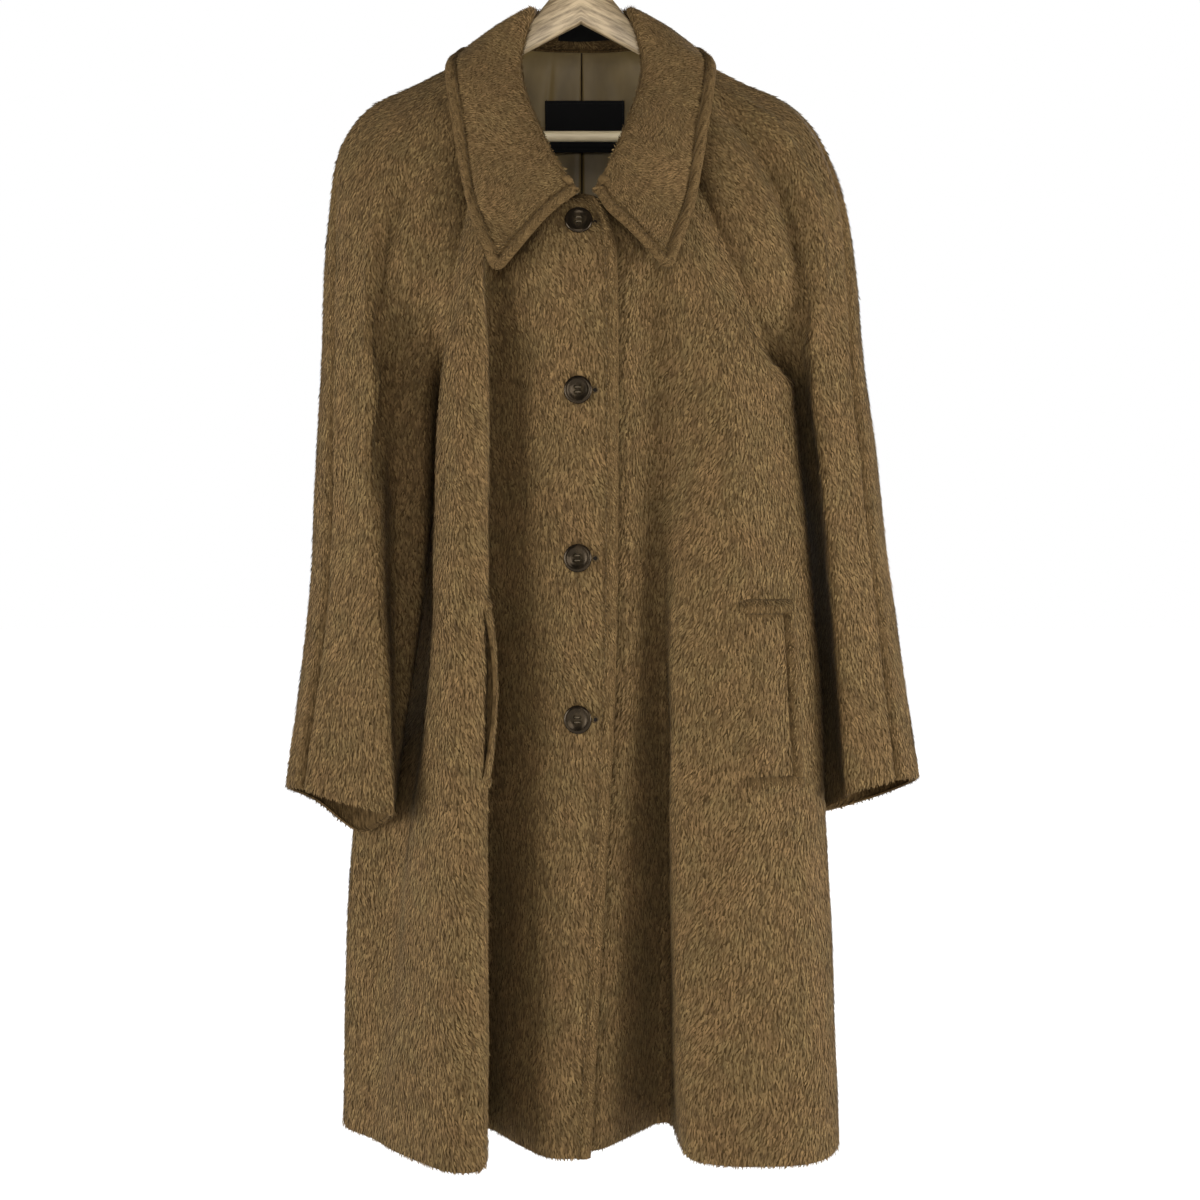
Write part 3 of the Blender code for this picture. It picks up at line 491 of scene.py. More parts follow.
@dataclass(frozen=True)
class Seams:
    """The raglan, side and under seams, where panels meet."""

    underarm: dict[Side, Pair] = field(
        default_factory=lambda: {Side.RIGHT: (134.0, 2.0), Side.LEFT: (192.0, 4.0)})
    front_angle: float = 14.0
    back_angle: float = -25.0
    front: dict[Side, tuple[SeamPoint, ...]] = field(default_factory=lambda: {
        Side.RIGHT: (SeamPoint(60, 96, -48, -250), SeamPoint(120, 116, -77, -365),
                     SeamPoint(195, 127, -30, -440)),
        Side.LEFT: (SeamPoint(60, 104, -50, -256), SeamPoint(120, 138, -67, -342),
                    SeamPoint(197, 183, -26, -440)),
    })
    back: dict[Side, tuple[SeamPoint, ...]] = field(default_factory=lambda: {
        Side.RIGHT: (SeamPoint(60, 94, 50, -195), SeamPoint(120, 112, 64, -290),
                     SeamPoint(188, 128, 40, -425)),
        Side.LEFT: (SeamPoint(60, 96, 50, -195), SeamPoint(120, 118, 66, -290),
                    SeamPoint(188, 180, 44, -425)),
    })
    sides: dict[Side, tuple[SidePoint, ...]] = field(default_factory=lambda: {
        Side.RIGHT: (SidePoint(300, 147, 22), SidePoint(400, 158, 33), SidePoint(500, 177, 40),
                     SidePoint(640, 220, 22), SidePoint(914, 228, 12)),
        Side.LEFT: (SidePoint(500, 206, 30), SidePoint(640, 226, 22), SidePoint(914, 236, 12)),
    })
    under: dict[Side, tuple[SidePoint, ...]] = field(default_factory=lambda: {
        Side.RIGHT: (SidePoint(300, 138, -4), SidePoint(400, 147, -14), SidePoint(595, 172, -60)),
        Side.LEFT: (SidePoint(400, 223, 8), SidePoint(595, 224, -38)),
    })
    ease: float = 2.5
    close_lines: tuple[str, ...] = ("side", "turn", "side_right", "side_left", "under", "back_inner")

    def underarm_point(self, side: Side) -> Point:
        """The point where the raglan, side and under seams meet."""
        out, y = self.underarm[side]
        return (side.value * out, y, LEVELS.chest_z)

    def raglan(self, side: Side, at_front: bool, rows: Any) -> Grid:
        """The raglan seam from the neckline to the underarm.

        Args:
            side: The wearer's side.
            at_front: Whether it is the front seam.
            rows: Distances down the cloth.

        Returns:
            One point for each row.
        """
        table = self.front[side] if at_front else self.back[side]
        angle = self.front_angle if at_front else self.back_angle
        keys = [0.0, *(p.down for p in table), LEVELS.chest]
        points = [NECK.point(side.value, angle), *((side.value * p.out, p.y, p.z) for p in table)]
        return steady(keys, [*points, self.underarm_point(side)], rows)

    @staticmethod
    def below_chest(side: Side, point: SidePoint) -> Point:
        """A point of a side or under seam as x, y and z."""
        return (side.value * point.out, point.y, LEVELS.chest_z + LEVELS.chest - point.level)

    def side_seam(self, side: Side, rows: Any) -> Grid:
        """The side seam from the underarm to the hem, one point for each row."""
        keys = [LEVELS.chest, *(p.level for p in self.sides[side])]
        points = [self.below_chest(side, p) for p in self.sides[side]]
        return steady(keys, [self.underarm_point(side), *points], rows)

    def under_seam(self, side: Side, rows: Any) -> Grid:
        """The sleeve's under seam from the underarm to the cuff, one point for each row.

        Args:
            side: The wearer's side.
            rows: Distances down the cloth.

        Returns:
            One point for each row.
        """
        *arm, cuff = self.under[side]
        points = [self.underarm_point(side), *(self.below_chest(side, p) for p in arm)]
        points.append((side.value * cuff.out, cuff.y, cuff_z(side, cuff.out, cuff.y)))
        return steady((LEVELS.chest, *(p.level for p in arm), LEVELS.cuff), points, rows)

    def body_edge(self, side: Side, at_front: bool) -> Grid:
        """The raglan seam and then the side seam, one point for each row of a front or the back."""
        upper = self.raglan(side, at_front, LEVELS.upper_rows)
        return np.concatenate((upper, self.side_seam(side, LEVELS.lower_rows)))

    def sleeve_edge(self, side: Side, at_front: bool) -> Grid:
        """The raglan seam and then the under seam, one point for each row of a sleeve."""
        upper = self.raglan(side, at_front, LEVELS.upper_rows)
        return np.concatenate((upper, self.under_seam(side, LEVELS.sleeve_rows)))

    def beside(self, seam_at: Curve, keys: Any, points: Any, rows: Grid) -> Grid:
        """A line that keeps to a seam and parts from it only near the underarm.

        Args:
            seam_at: Gives the seam's points at distances down the cloth.
            keys: Distances at which the line's points lie.
            points: The line's points.
            rows: Distances to find.

        Returns:
            One point for each row.
        """
        start, end = keys[-2:]
        share = np.clip((rows - start) / (end - start), 0.0, 1.0)
        eased = np.where(rows > start, start + (end - start) * share ** self.ease, rows)
        return seam_at(rows) + steady(keys, np.asarray(points, float) - seam_at(keys), eased)


def cuff_z(side: Side, out: float, y: float) -> float:
    """Height of a cuff's edge.

    Args:
        side: The wearer's side.
        out: Distance from the middle.
        y: Depth.

    Returns:
        Z in millimetres.
    """
    slope = CUFF_SLOPE[side]
    lift = slope.inner_lift * max(0.0, 1 - (out - slope.out) / slope.inner_reach)
    lift += slope.outer_lift * min(1.0, max(0.0, (out - slope.outer_from) / slope.inner_reach))
    return slope.z + (slope.per_y + lift) * (y - slope.y) + slope.per_out * (out - slope.out)


SEAMS = Seams()


# Cloth as a surface


class Crease(NamedTuple):
    """A soft trough (negative depth) or ridge on a panel.

    `across` runs from 0 at the panel's first edge to 1 at its last, `down` is in millimetres.
    """

    name: str
    across_from: float
    down_from: float
    across_to: float
    down_to: float
    width: float
    depth: float


FRONT_RIGHT_CREASES = (
    Crease("button_drag", 0.12, 260, 0.19, 430, 9, -1.7),
    Crease("chest_hollow", 0.31, 120, 0.27, 330, 17, -2.8),
    Crease("lap_swell", 0.17, 430, 0.13, 880, 22, 2.2),
    Crease("ridge_dent", 0.60, 300, 0.64, 500, 13, -2.2),
    Crease("ridge_soft", 0.55, 620, 0.60, 840, 17, -1.8),
    Crease("side_drape", 0.82, 480, 0.76, 890, 20, -3.0),
)
FRONT_LEFT_CREASES = (
    Crease("raglan_drag", 0.62, 90, 0.52, 310, 14, 2.2),
    Crease("chest_hollow", 0.42, 200, 0.47, 470, 15, -2.6),
    Crease("armhole_pull", 0.80, 210, 0.62, 420, 12, -2.0),
    Crease("pocket_pull", 0.58, 500, 0.53, 770, 18, 1.8),
    Crease("lower_drape", 0.74, 660, 0.71, 900, 20, -2.8),
    Crease("lap_soft", 0.33, 560, 0.37, 880, 15, 2.0),
)
BACK_CREASES = (
    Crease("blade_right", 0.30, 90, 0.34, 330, 17, 4.8),
    Crease("blade_left", 0.70, 110, 0.64, 300, 15, 4.2),
    Crease("waist_right", 0.38, 330, 0.33, 700, 18, -7.0),
    Crease("waist_left", 0.60, 300, 0.67, 640, 16, -6.0),
    Crease("centre_soft", 0.50, 420, 0.48, 890, 22, 4.0),
    Crease("hem_left", 0.80, 600, 0.83, 900, 17, -5.0),
)
SLEEVE_FRONT_CREASES = {
    Side.RIGHT: (Crease("fold_edge", 0.45, 130, 0.73, 470, 6, 4.5),
                 Crease("fold_valley", 0.35, 120, 0.64, 480, 8, -9.0),
                 Crease("elbow_upper", 0.18, 350, 0.78, 318, 11, -2.2),
                 Crease("elbow_lower", 0.25, 425, 0.70, 452, 13, -2.0),
                 Crease("wrist", 0.30, 540, 0.72, 512, 9, -1.3)),
    Side.LEFT: (Crease("fold_edge", 0.68, 95, 0.64, 330, 6, 5.5),
                Crease("fold_valley", 0.52, 80, 0.42, 330, 12, -15.0),
                Crease("elbow_upper", 0.25, 375, 0.85, 340, 12, -2.0),
                Crease("forearm", 0.35, 430, 0.55, 560, 12, 1.6),
                Crease("wrist", 0.25, 530, 0.60, 508, 9, -1.2)),
}
SLEEVE_BACK_CREASES = {
    Side.RIGHT: (Crease("elbow_upper", 0.25, 310, 0.80, 345, 13, -2.4),
                 Crease("elbow_lower", 0.30, 400, 0.75, 380, 12, -2.0),
                 Crease("shoulder", 0.45, 90, 0.40, 260, 17, 1.8)),
    Side.LEFT: (Crease("elbow_upper", 0.22, 330, 0.75, 358, 14, -2.2),
                Crease("elbow_lower", 0.35, 430, 0.80, 405, 12, -2.2),
                Crease("shoulder", 0.50, 100, 0.42, 250, 16, 1.8)),
}


@dataclass
class Cloth:
    """A cloth surface: a grid of points with its outward normals.

    Rows run down the cloth and columns run across it.
    """

    name: str
    points: Grid
    mirrored: bool
    first: Edge
    last: Edge
    top: Edge
    bottom: Edge
    creases: tuple[Crease, ...] = ()
    lean: float = 0.0
    comb_axis: int = 0
    sway: float = 24.0
    normals: Grid = field(init=False)

    seam_depth: float = 5.4
    brushed_depth: float = 1.3
    seam_reach: float = 5.0
    puff: float = 2.0
    nap_length: float = 1.0
    nap_spacing: float = 1.85
    stitch_show: float = 0.5
    edge_crop: float = 0.6
    band_crop: float = 0.25
    fold_round: float = 4.5
    fold_drop: float = 1.9
    stitch_inset: float = 12.5
    stitch_depth: float = 2.4
    stitch_reach: float = 2.0
    crop_reach: float = 4.0
    wave_height: float = 0.8
    crease_fade: float = 16.0
    crease_taper: float = 0.6
    seam_thinning: float = 0.9
    thinning_reach: float = 3.6
    thread_reach: float = 2.0
    least_dense: float = 0.1
    edge_crop_reach: float = 7.0
    seam_crop: float = 0.72
    seam_crop_reach: float = 6.0
    least_length: float = 0.3

    def __post_init__(self) -> None:
        """Work out the normals of the plain surface."""
        self.normals = self.own_normals()

    def own_normals(self) -> Grid:
        """Outward normal at each point, from this panel alone.

        Returns:
            One unit vector for each point.
        """
        grid = self.points
        normals = np.zeros_like(grid)
        faces = np.cross(grid[1:, 1:] - grid[:-1, :-1], grid[1:, :-1] - grid[:-1, 1:])
        for rows in (slice(None, -1), slice(1, None)):
            for columns in (slice(None, -1), slice(1, None)):
                normals[rows, columns] += faces
        return unit(-normals if self.mirrored else normals)

    def across_lengths(self) -> Grid:
        """Distance of each point along its row from the first edge."""
        steps = np.linalg.norm(np.diff(self.points, axis=1), axis=-1)
        return np.concatenate((np.zeros((len(steps), 1)), np.cumsum(steps, axis=1)), axis=1)

    def down_lengths(self) -> Grid:
        """Distance of each point down its column from the top edge."""
        steps = np.linalg.norm(np.diff(self.points, axis=0), axis=-1)
        return np.concatenate((np.zeros((1, steps.shape[1])), np.cumsum(steps, axis=0)), axis=0)

    def edge_distances(self) -> dict[Edge, Grid]:
        """Distance of each point to the nearest edge of each kind.

        Returns:
            Distances for each kind of edge.
        """
        over, down = self.across_lengths(), self.down_lengths()
        sides = ((self.first, over), (self.last, over[:, -1:] - over),
                 (self.top, down), (self.bottom, down[-1:] - down))
        far = np.full(over.shape, 1e3)
        nearest = {kind: far for kind in Edge}
        for kind, distance in sides:
            nearest[kind] = np.minimum(nearest[kind], distance)
        return nearest

    def crease_height(self) -> Grid:
        """Height of all the panel's creases at each point.

        Returns:
            Heights in millimetres.
        """
        over, down = self.across_lengths(), self.down_lengths()
        width = over[:, -1].mean()
        share = over / np.maximum(over[:, -1:], 1e-6) * width
        height = np.zeros(over.shape)
        for crease in self.creases:
            start = np.array((crease.across_from * width, crease.down_from))
            run = np.array((crease.across_to * width, crease.down_to)) - start
            away = np.stack((share, down), axis=-1) - start
            along = away @ run / (run @ run)
            beside = abs(away @ np.array((-run[1], run[0]))) / np.linalg.norm(run)
            taper = np.clip(1 - (2 * along - 1) ** 2, 0.0, 1.0) ** self.crease_taper
            height += crease.depth * taper * np.exp(-(beside / crease.width) ** 2)
        return height

    def shape(self) -> None:
        """Raise the creases, sink the seams and stitching, and round the folded edges."""
        edges = self.edge_distances()
        nearest = np.minimum.reduce(list(edges.values()))
        fade = np.clip(nearest / self.crease_fade, 0.0, 1.0)
        height = self.wave_height * ripple(self.points, CLOTH_WAVES) + fade * self.crease_height()
        for kind, depth in ((Edge.SEAM, self.seam_depth), (Edge.BRUSHED, self.brushed_depth)):
            height -= depth * np.exp(-(edges[kind] / self.seam_reach) ** 2)
        for kind in (Edge.FOLDED, Edge.STITCHED):
            near = np.clip(1 - edges[kind] / self.fold_round, 0.0, 1.0)
            height -= self.fold_drop * near * near
        stitched = edges[Edge.STITCHED] - self.stitch_inset
        height += self.puff * np.exp(-((stitched + self.stitch_inset / 2) / self.stitch_reach / 2) ** 2)
        height -= self.stitch_depth * np.exp(-(stitched / self.stitch_reach) ** 2)
        self.points = self.points + height[..., None] * self.normals
        self.normals = self.own_normals()

    def thinning(self) -> Grid:
        """How densely the nap stands at each point: less along seams and stitching.

        Returns:
            Shares of the full density.
        """
        edges = self.edge_distances()
        stitched = edges[Edge.STITCHED] - self.stitch_inset
        sunk = self.seam_thinning * np.exp(-(edges[Edge.SEAM] / self.thinning_reach) ** 2)
        sunk += self.stitch_show * np.exp(-(stitched / self.thread_reach) ** 2)
        return np.clip(1 - sunk, self.least_dense, 1.0)

    def stature(self) -> Grid:
        """How long the nap is at each point: cropped by stitching, seams and turned edges.

        Returns:
            Shares of a lock's full size.
        """
        edges = self.edge_distances()
        turned = np.minimum(edges[Edge.FOLDED], edges[Edge.STITCHED])
        stitched = edges[Edge.STITCHED] - self.stitch_inset
        short = self.edge_crop * np.clip(1 - turned / self.edge_crop_reach, 0.0, 1.0)
        short += self.seam_crop * np.exp(-(edges[Edge.SEAM] / self.seam_crop_reach) ** 2)
        short += self.band_crop * (stitched < 0)
        short += self.stitch_show * np.exp(-(stitched / self.crop_reach) ** 2)
        return self.nap_length * np.clip(1 - short, self.least_length, 1.0)

    def comb(self) -> Grid:
        """Direction in which the nap lies at each point: down the cloth, leaning and wandering.

        Returns:
            One unit vector for each point.
        """
        down = unit(np.gradient(self.points, axis=self.comb_axis))
        side = np.cross(self.normals, down)
        turn = radians(self.sway) * ripple(self.points, COMB_WAVES) + radians(self.lean)
        return unit(np.cos(turn)[..., None] * down + np.sin(turn)[..., None] * side)

    def area(self) -> float:
        """Area of the cloth in square metres."""
        one = self.points[1:, 1:] - self.points[:-1, :-1]
        two = self.points[1:, :-1] - self.points[:-1, 1:]
        return float(np.linalg.norm(np.cross(one, two), axis=-1).sum() / 2) * MM * MM

    def flat(self) -> Pair:
        """Width and length of the cut in metres."""
        return float(self.across_lengths().max()) * MM, float(self.down_lengths().max()) * MM

    def inset_column(self, distance: float, from_last: bool) -> tuple[Grid, Grid]:
        """Points and normals at one distance from the first or last edge, one for each row.

        Args:
            distance: Distance from the edge in millimetres.
            from_last: Whether it is measured from the last edge.

        Returns:
            Points and normals.
        """
        over = self.across_lengths()
        points, facing = [], []
        for lengths, row, normals in zip(over, self.points, self.normals):
            at = lengths[-1] - distance if from_last else distance
            points.append([np.interp(at, lengths, row[:, k]) for k in range(3)])
            facing.append([np.interp(at, lengths, normals[:, k]) for k in range(3)])
        return np.array(points), unit(np.array(facing))


def join_normals(cloths: Sequence[Cloth], facing: float = 0.4) -> None:
    """Share normals along seams, where neighbouring panels face alike.

    Args:
        cloths: All panels of the coat.
        facing: Panels that meet at less than this cosine keep their own normals.
    """
    at_point: dict[tuple, list[Grid]] = {}
    for cloth in cloths:
        for point, normal in zip(cloth.points.reshape(-1, 3), cloth.normals.reshape(-1, 3)):
            at_point.setdefault(tuple(np.round(point, 1)), []).append(normal)
    for cloth in cloths:
        shared = []
        for point, normal in zip(cloth.points.reshape(-1, 3), cloth.normals.reshape(-1, 3)):
            others = at_point[tuple(np.round(point, 1))]
            shared.append(sum(other for other in others if np.dot(other, normal) > facing))
        cloth.normals = unit(np.array(shared).reshape(cloth.points.shape))


# Meshes


def linked(name: str, data: Any) -> Piece:
    """A new object in the scene."""
    made = bpy.data.objects.new(name, data)
    bpy.context.scene.collection.objects.link(made)
    return made


def evaluated(base: Piece) -> bpy.types.Mesh:
    """A plain mesh of an object with its modifiers applied."""
    depsgraph = bpy.context.evaluated_depsgraph_get()
    return bpy.data.meshes.new_from_object(base.evaluated_get(depsgraph), depsgraph=depsgraph)


def new_object(name: str, points: Any, faces: Any, finish: Material) -> Piece:
    """A smooth-shaded object in the scene.

    Args:
        name: Its name.
        points: Points in millimetres.
        faces: Faces as indices of points.
        finish: Its material.

    Returns:
        The object.
    """
    mesh = bpy.data.meshes.new(name)
    mesh.from_pydata((np.asarray(points, float) * MM).tolist(), [], faces)
    mesh.validate()
    mesh.shade_smooth()
    mesh.materials.append(finish)
    return linked(name, mesh)


def grid_faces(rows: int, columns: int, first: int = 0) -> Quads:
    """Quads of a grid of points that starts at an index."""
    return [(first + i * columns + j, first + i * columns + j + 1,
             first + (i + 1) * columns + j + 1, first + (i + 1) * columns + j)
            for i in range(rows - 1) for j in range(columns - 1)]


def rim_loop(rows: int, columns: int) -> list[int]:
    """Indices round the rim of a grid.

    Args:
        rows: Rows of points.
        columns: Columns of points.

    Returns:
        The indices in order.
    """
    top = list(range(columns))
    last = [i * columns + columns - 1 for i in range(1, rows)]
    bottom = [(rows - 1) * columns + j for j in range(columns - 2, -1, -1)]
    first = [i * columns for i in range(rows - 2, 0, -1)]
    return top + last + bottom + first


def shell(cloth: Cloth, wall: float, lift: float, finish: Material) -> Piece:
    """A closed thin wall on a cloth surface, with a UV map in metres across and down.

    Args:
        cloth: The surface; it gives the wall's name.
        wall: Thickness in millimetres.
        lift: How far the wall's inner side stands off the surface; minus the wall's thickness
            puts its outer side on the surface.
        finish: The wall's material.

    Returns:
        The object.
    """
    rows, columns = cloth.points.shape[:2]
    outer = cloth.points + cloth.normals * (lift + wall)
    inner = cloth.points + cloth.normals * lift
    points = np.concatenate((outer.reshape(-1, 3), inner.reshape(-1, 3)))
    behind = rows * columns
    faces = grid_faces(rows, columns)
    faces += [face[::-1] for face in grid_faces(rows, columns, behind)]
    loop = rim_loop(rows, columns)
    faces += [(b, a, a + behind, b + behind) for a, b in zip(loop, loop[1:] + loop[:1])]
    if cloth.mirrored:
        faces = [face[::-1] for face in faces]
    made = new_object(cloth.name, points, faces, finish)
    over, down = cloth.across_lengths().ravel() * MM, cloth.down_lengths().ravel() * MM
    uv = np.tile(np.stack((over, down), axis=-1), (2, 1))
    layer = made.data.uv_layers.new(name="cloth")
    corners = np.zeros(len(made.data.loops), int)
    made.data.loops.foreach_get("vertex_index", corners)
    layer.data.foreach_set("uv", uv[corners].ravel())
    made.data.set_sharp_from_angle(angle=radians(RIM_ANGLE))
    return made


def surface(cloth: Cloth, lift: float) -> Piece:
    """The bare outer surface that the nap grows on, with its direction, density and length.

    Args:
        cloth: The cloth.
        lift: How far it stands off the cloth's points.

    Returns:
        The object.
    """
    rows, columns = cloth.points.shape[:2]
    points = cloth.points + cloth.normals * lift
    faces = grid_faces(rows, columns)
    if cloth.mirrored:
        faces = [face[::-1] for face in faces]
    mesh = bpy.data.meshes.new(f"{cloth.name}_nap")
    mesh.from_pydata((points.reshape(-1, 3) * MM).tolist(), [], faces)
    comb = mesh.attributes.new("comb", "FLOAT_VECTOR", "POINT")
    comb.data.foreach_set("vector", cloth.comb().reshape(-1))
    for name, values in (("thinning", cloth.thinning()), ("stature", cloth.stature())):
        mesh.attributes.new(name, "FLOAT", "POINT").data.foreach_set("value", values.ravel())
    return linked(mesh.name, mesh)


def band(low: int, high: int, sides: int) -> Quads:
    """Quads between two rings, by the index of each ring's first point."""
    return [(low + k, low + (k + 1) % sides, high + (k + 1) % sides, high + k) for k in range(sides)]


def tube(path: Any, radius: float, sides: int, closed: bool = False) -> tuple[Grid, list]:
    """Points and faces of a round cord along a path.

    Args:
        path: Points that the cord follows.
        radius: The cord's radius.
        sides: Sides of its section.
        closed: Whether the path joins its own start.

    Returns:
        Points and faces.
    """
    path = np.asarray(path, float)
    count = len(path)
    if closed:
        tangents = unit(np.roll(path, -1, axis=0) - np.roll(path, 1, axis=0))
    else:
        tangents = unit(np.gradient(path, axis=0))
    aside = 1 if np.ptp(path[:, 1]) < np.ptp(path[:, 2]) + 1e-6 else 2
    one = unit(np.cross(tangents, np.eye(3)[aside]))
    two = np.cross(tangents, one)
    turns = 2 * pi * np.arange(sides) / sides
    ring = np.cos(turns)[None, :, None] * one[:, None] + np.sin(turns)[None, :, None] * two[:, None]
    points = (path[:, None] + radius * ring).reshape(-1, 3)
    faces = []
    for i in range(count if closed else count - 1):
        faces += band(i * sides, (i + 1) % count * sides, sides)
    if not closed:
        faces += [tuple(range(sides - 1, -1, -1)), tuple((count - 1) * sides + k for k in range(sides))]
    return points, faces


# Node graphs


class Sock:
    """A socket in a node graph, which takes part in sums."""

    def __init__(self, graph: "NodeGraph", socket: bpy.types.NodeSocket) -> None:
        """Hold the graph and the socket."""
        self.graph = graph
        self.socket = socket

    def out(self, name: str) -> "Sock":
        """Another output of the same node."""
        return Sock(self.graph, self.graph.pick(self.socket.node.outputs, name))

    def sum(self, operation: str, one: Any, two: Any) -> "Sock":
        """A Math node on two values."""
        return self.graph.node("ShaderNodeMath", {"operation": operation}, {0: one, 1: two})

    def __add__(self, other: Any) -> "Sock":
        """This plus another."""
        return self.sum("ADD", self, other)

    def __radd__(self, other: Any) -> "Sock":
        """Another plus this."""
        return self.sum("ADD", other, self)

    def __sub__(self, other: Any) -> "Sock":
        """This less another."""
        return self.sum("SUBTRACT", self, other)

    def __rsub__(self, other: Any) -> "Sock":
        """Another less this."""
        return self.sum("SUBTRACT", other, self)

    def __mul__(self, other: Any) -> "Sock":
        """This times another."""
        return self.sum("MULTIPLY", self, other)

    def __rmul__(self, other: Any) -> "Sock":
        """Another times this."""
        return self.sum("MULTIPLY", other, self)

    def __abs__(self) -> "Sock":
        """This without its sign."""
        return self.sum("ABSOLUTE", self, 0.0)


class NodeGraph:
    """A node tree under construction."""

    def __init__(self, tree: bpy.types.NodeTree) -> None:
        """Hold the tree."""
        self.tree = tree

    @staticmethod
    def pick(sockets: Any, key: str | int) -> bpy.types.NodeSocket:
        """The socket in use with a name, or at a place."""
        if isinstance(key, int):
            return sockets[key]
        return next(s for s in sockets if s.name == key and s.enabled)

    def feed(self, socket: bpy.types.NodeSocket, value: Any) -> None:
        """Link a socket or set its value.

        Args:
            socket: An input.
            value: A value, or the socket to link.
        """
        if isinstance(value, Sock):
            self.tree.links.new(value.socket, socket)
        else:
            socket.default_value = value

    def node(self, kind: str, settings: dict[str, Any] | None = None,
             inputs: dict[str | int, Any] | None = None) -> Sock:
        """Add a node.

        Args:
            kind: The node's type.
            settings: Its own properties, set first.
            inputs: Values or links of its sockets, by name or place.

        Returns:
            Its first output in use.
        """
        made = self.tree.nodes.new(kind)
        for name, value in (settings or {}).items():
            setattr(made, name, value)
        for key, value in (inputs or {}).items():
            self.feed(self.pick(made.inputs, key), value)
        first = next((s for s in made.outputs if s.enabled), None)
        return Sock(self, first)


class Shader(NodeGraph):
    """A Principled material under construction."""

    def __init__(self, name: str) -> None:
        """Make the material with its Principled shader.

        Args:
            name: The material's name.
        """
        self.material = bpy.data.materials.new(name)
        self.material.use_nodes = True
        super().__init__(self.material.node_tree)
        self.principled = self.tree.nodes["Principled BSDF"]

    def set(self, **values: Any) -> None:
        """Set or link the Principled shader's sockets; underscores stand for spaces."""
        for name, value in values.items():
            self.feed(self.principled.inputs[name.replace("_", " ")], value)

    def object_place(self, scale: Point = (1.0, 1.0, 1.0)) -> Sock:
        """Object coordinates in metres, stretched by a scale."""
        place = self.node("ShaderNodeTexCoord").out("Object")
        return self.node("ShaderNodeMapping", {}, {"Vector": place, "Scale": scale})

    def cloth_place(self, scale: Point) -> Sock:
        """Coordinates across and down the cloth in metres, stretched by a scale."""
        place = self.node("ShaderNodeUVMap", {"uv_map": "cloth"})
        return self.node("ShaderNodeMapping", {}, {"Vector": place, "Scale": scale})

    def noise(self, place: Sock, scale: float, detail: float = 2.0, roughness: float = 0.5) -> Sock:
        """A noise value at a place."""
        return self.node("ShaderNodeTexNoise", {}, {
            "Vector": place, "Scale": scale, "Detail": detail, "Roughness": roughness})

    def ramp(self, value: Sock, low: float, high: float) -> Sock:
        """A value spread so that low becomes 0 and high becomes 1."""
        return self.node("ShaderNodeMapRange", {}, {0: value, 1: low, 2: high, 3: 0.0, 4: 1.0})

    def mix(self, factor: Any, one: Any, two: Any, blend: str = "MIX") -> Sock:
        """A colour between two colours, or another blend of them.

        Args:
            factor: From 0 for the first to 1 for the second.
            one: The first colour.
            two: The second colour.
            blend: How the second is laid on the first.

        Returns:
            The colour.
        """
        def full(colour: Any) -> Any:
            """The colour with its opacity."""
            return colour if isinstance(colour, Sock) else (*colour, 1.0)
        return self.node("ShaderNodeMix", {"data_type": "RGBA", "blend_type": blend},
                         {0: factor, 6: full(one), 7: full(two)})

    def bump(self, height: Sock, distance: float, strength: float = 1.0) -> Sock:
        """A normal raised by a height, over a distance in metres."""
        return self.node("ShaderNodeBump", {}, {
            "Height": height, "Distance": distance, "Strength": strength})


# Finishes


@dataclass(frozen=True)
class WoolGround:
    """The woven ground under the nap: its own brown, painted darker than the locks as the shade between and
    under them.
    """

    # Painted shade: both tones are darker than the locks' for the shade that falls between and under them.
    dark: Colour = (0.036, 0.021, 0.007)
    light: Colour = (0.105, 0.064, 0.025)
    strokes: Point = (420.0, 105.0, 1.0)

    def make(self) -> Material:
        """Make the finish.

        Returns:
            The material.
        """
        shader = Shader("wool_ground")
        strokes = shader.noise(shader.cloth_place(self.strokes), scale=1.0, roughness=0.6)
        shade = shader.ramp(strokes, low=0.34, high=0.66)
        shader.set(Base_Color=shader.mix(shade, self.dark, self.light), Roughness=0.95,
                   Normal=shader.bump(strokes, distance=0.0016), Specular_IOR_Level=0.1)
        return shader.material


@dataclass(frozen=True)
class WoolNap:
    """The brushed locks: each has its own tone, and patches are more olive or more russet."""

    dark: Colour = (0.056, 0.032, 0.0115)
    light: Colour = (0.205, 0.131, 0.056)
    olive: Colour = (0.92, 0.95, 0.86)
    russet: Colour = (1.0, 0.95, 0.88)
    sheen: Colour = (0.9, 0.75, 0.5)
    own_share: float = 0.55
    clump_share: float = 0.45
    clump_stretch: Point = (1.0, 1.0, 0.45)

    def make(self) -> Material:
        """Make the finish.

        Returns:
            The material.
        """
        shader = Shader("wool_nap")
        tone = shader.node("ShaderNodeAttribute", {"attribute_name": "tone"}).out("Fac")
        patches = shader.noise(shader.object_place(), scale=34.0, detail=3.0)
        clumps = shader.noise(shader.object_place(self.clump_stretch), scale=210.0, detail=1.0)
        clump = shader.ramp(clumps, low=0.3, high=0.7)
        lock = shader.mix(tone * self.own_share + clump * self.clump_share, self.dark, self.light)
        tint = shader.mix(shader.ramp(patches, low=0.36, high=0.64), self.olive, self.russet)
        shader.set(Base_Color=shader.mix(1.0, lock, tint, "MULTIPLY"), Roughness=0.82,
                   Specular_IOR_Level=0.16, Sheen_Weight=0.05, Sheen_Tint=(*self.sheen, 1.0))
        return shader.material


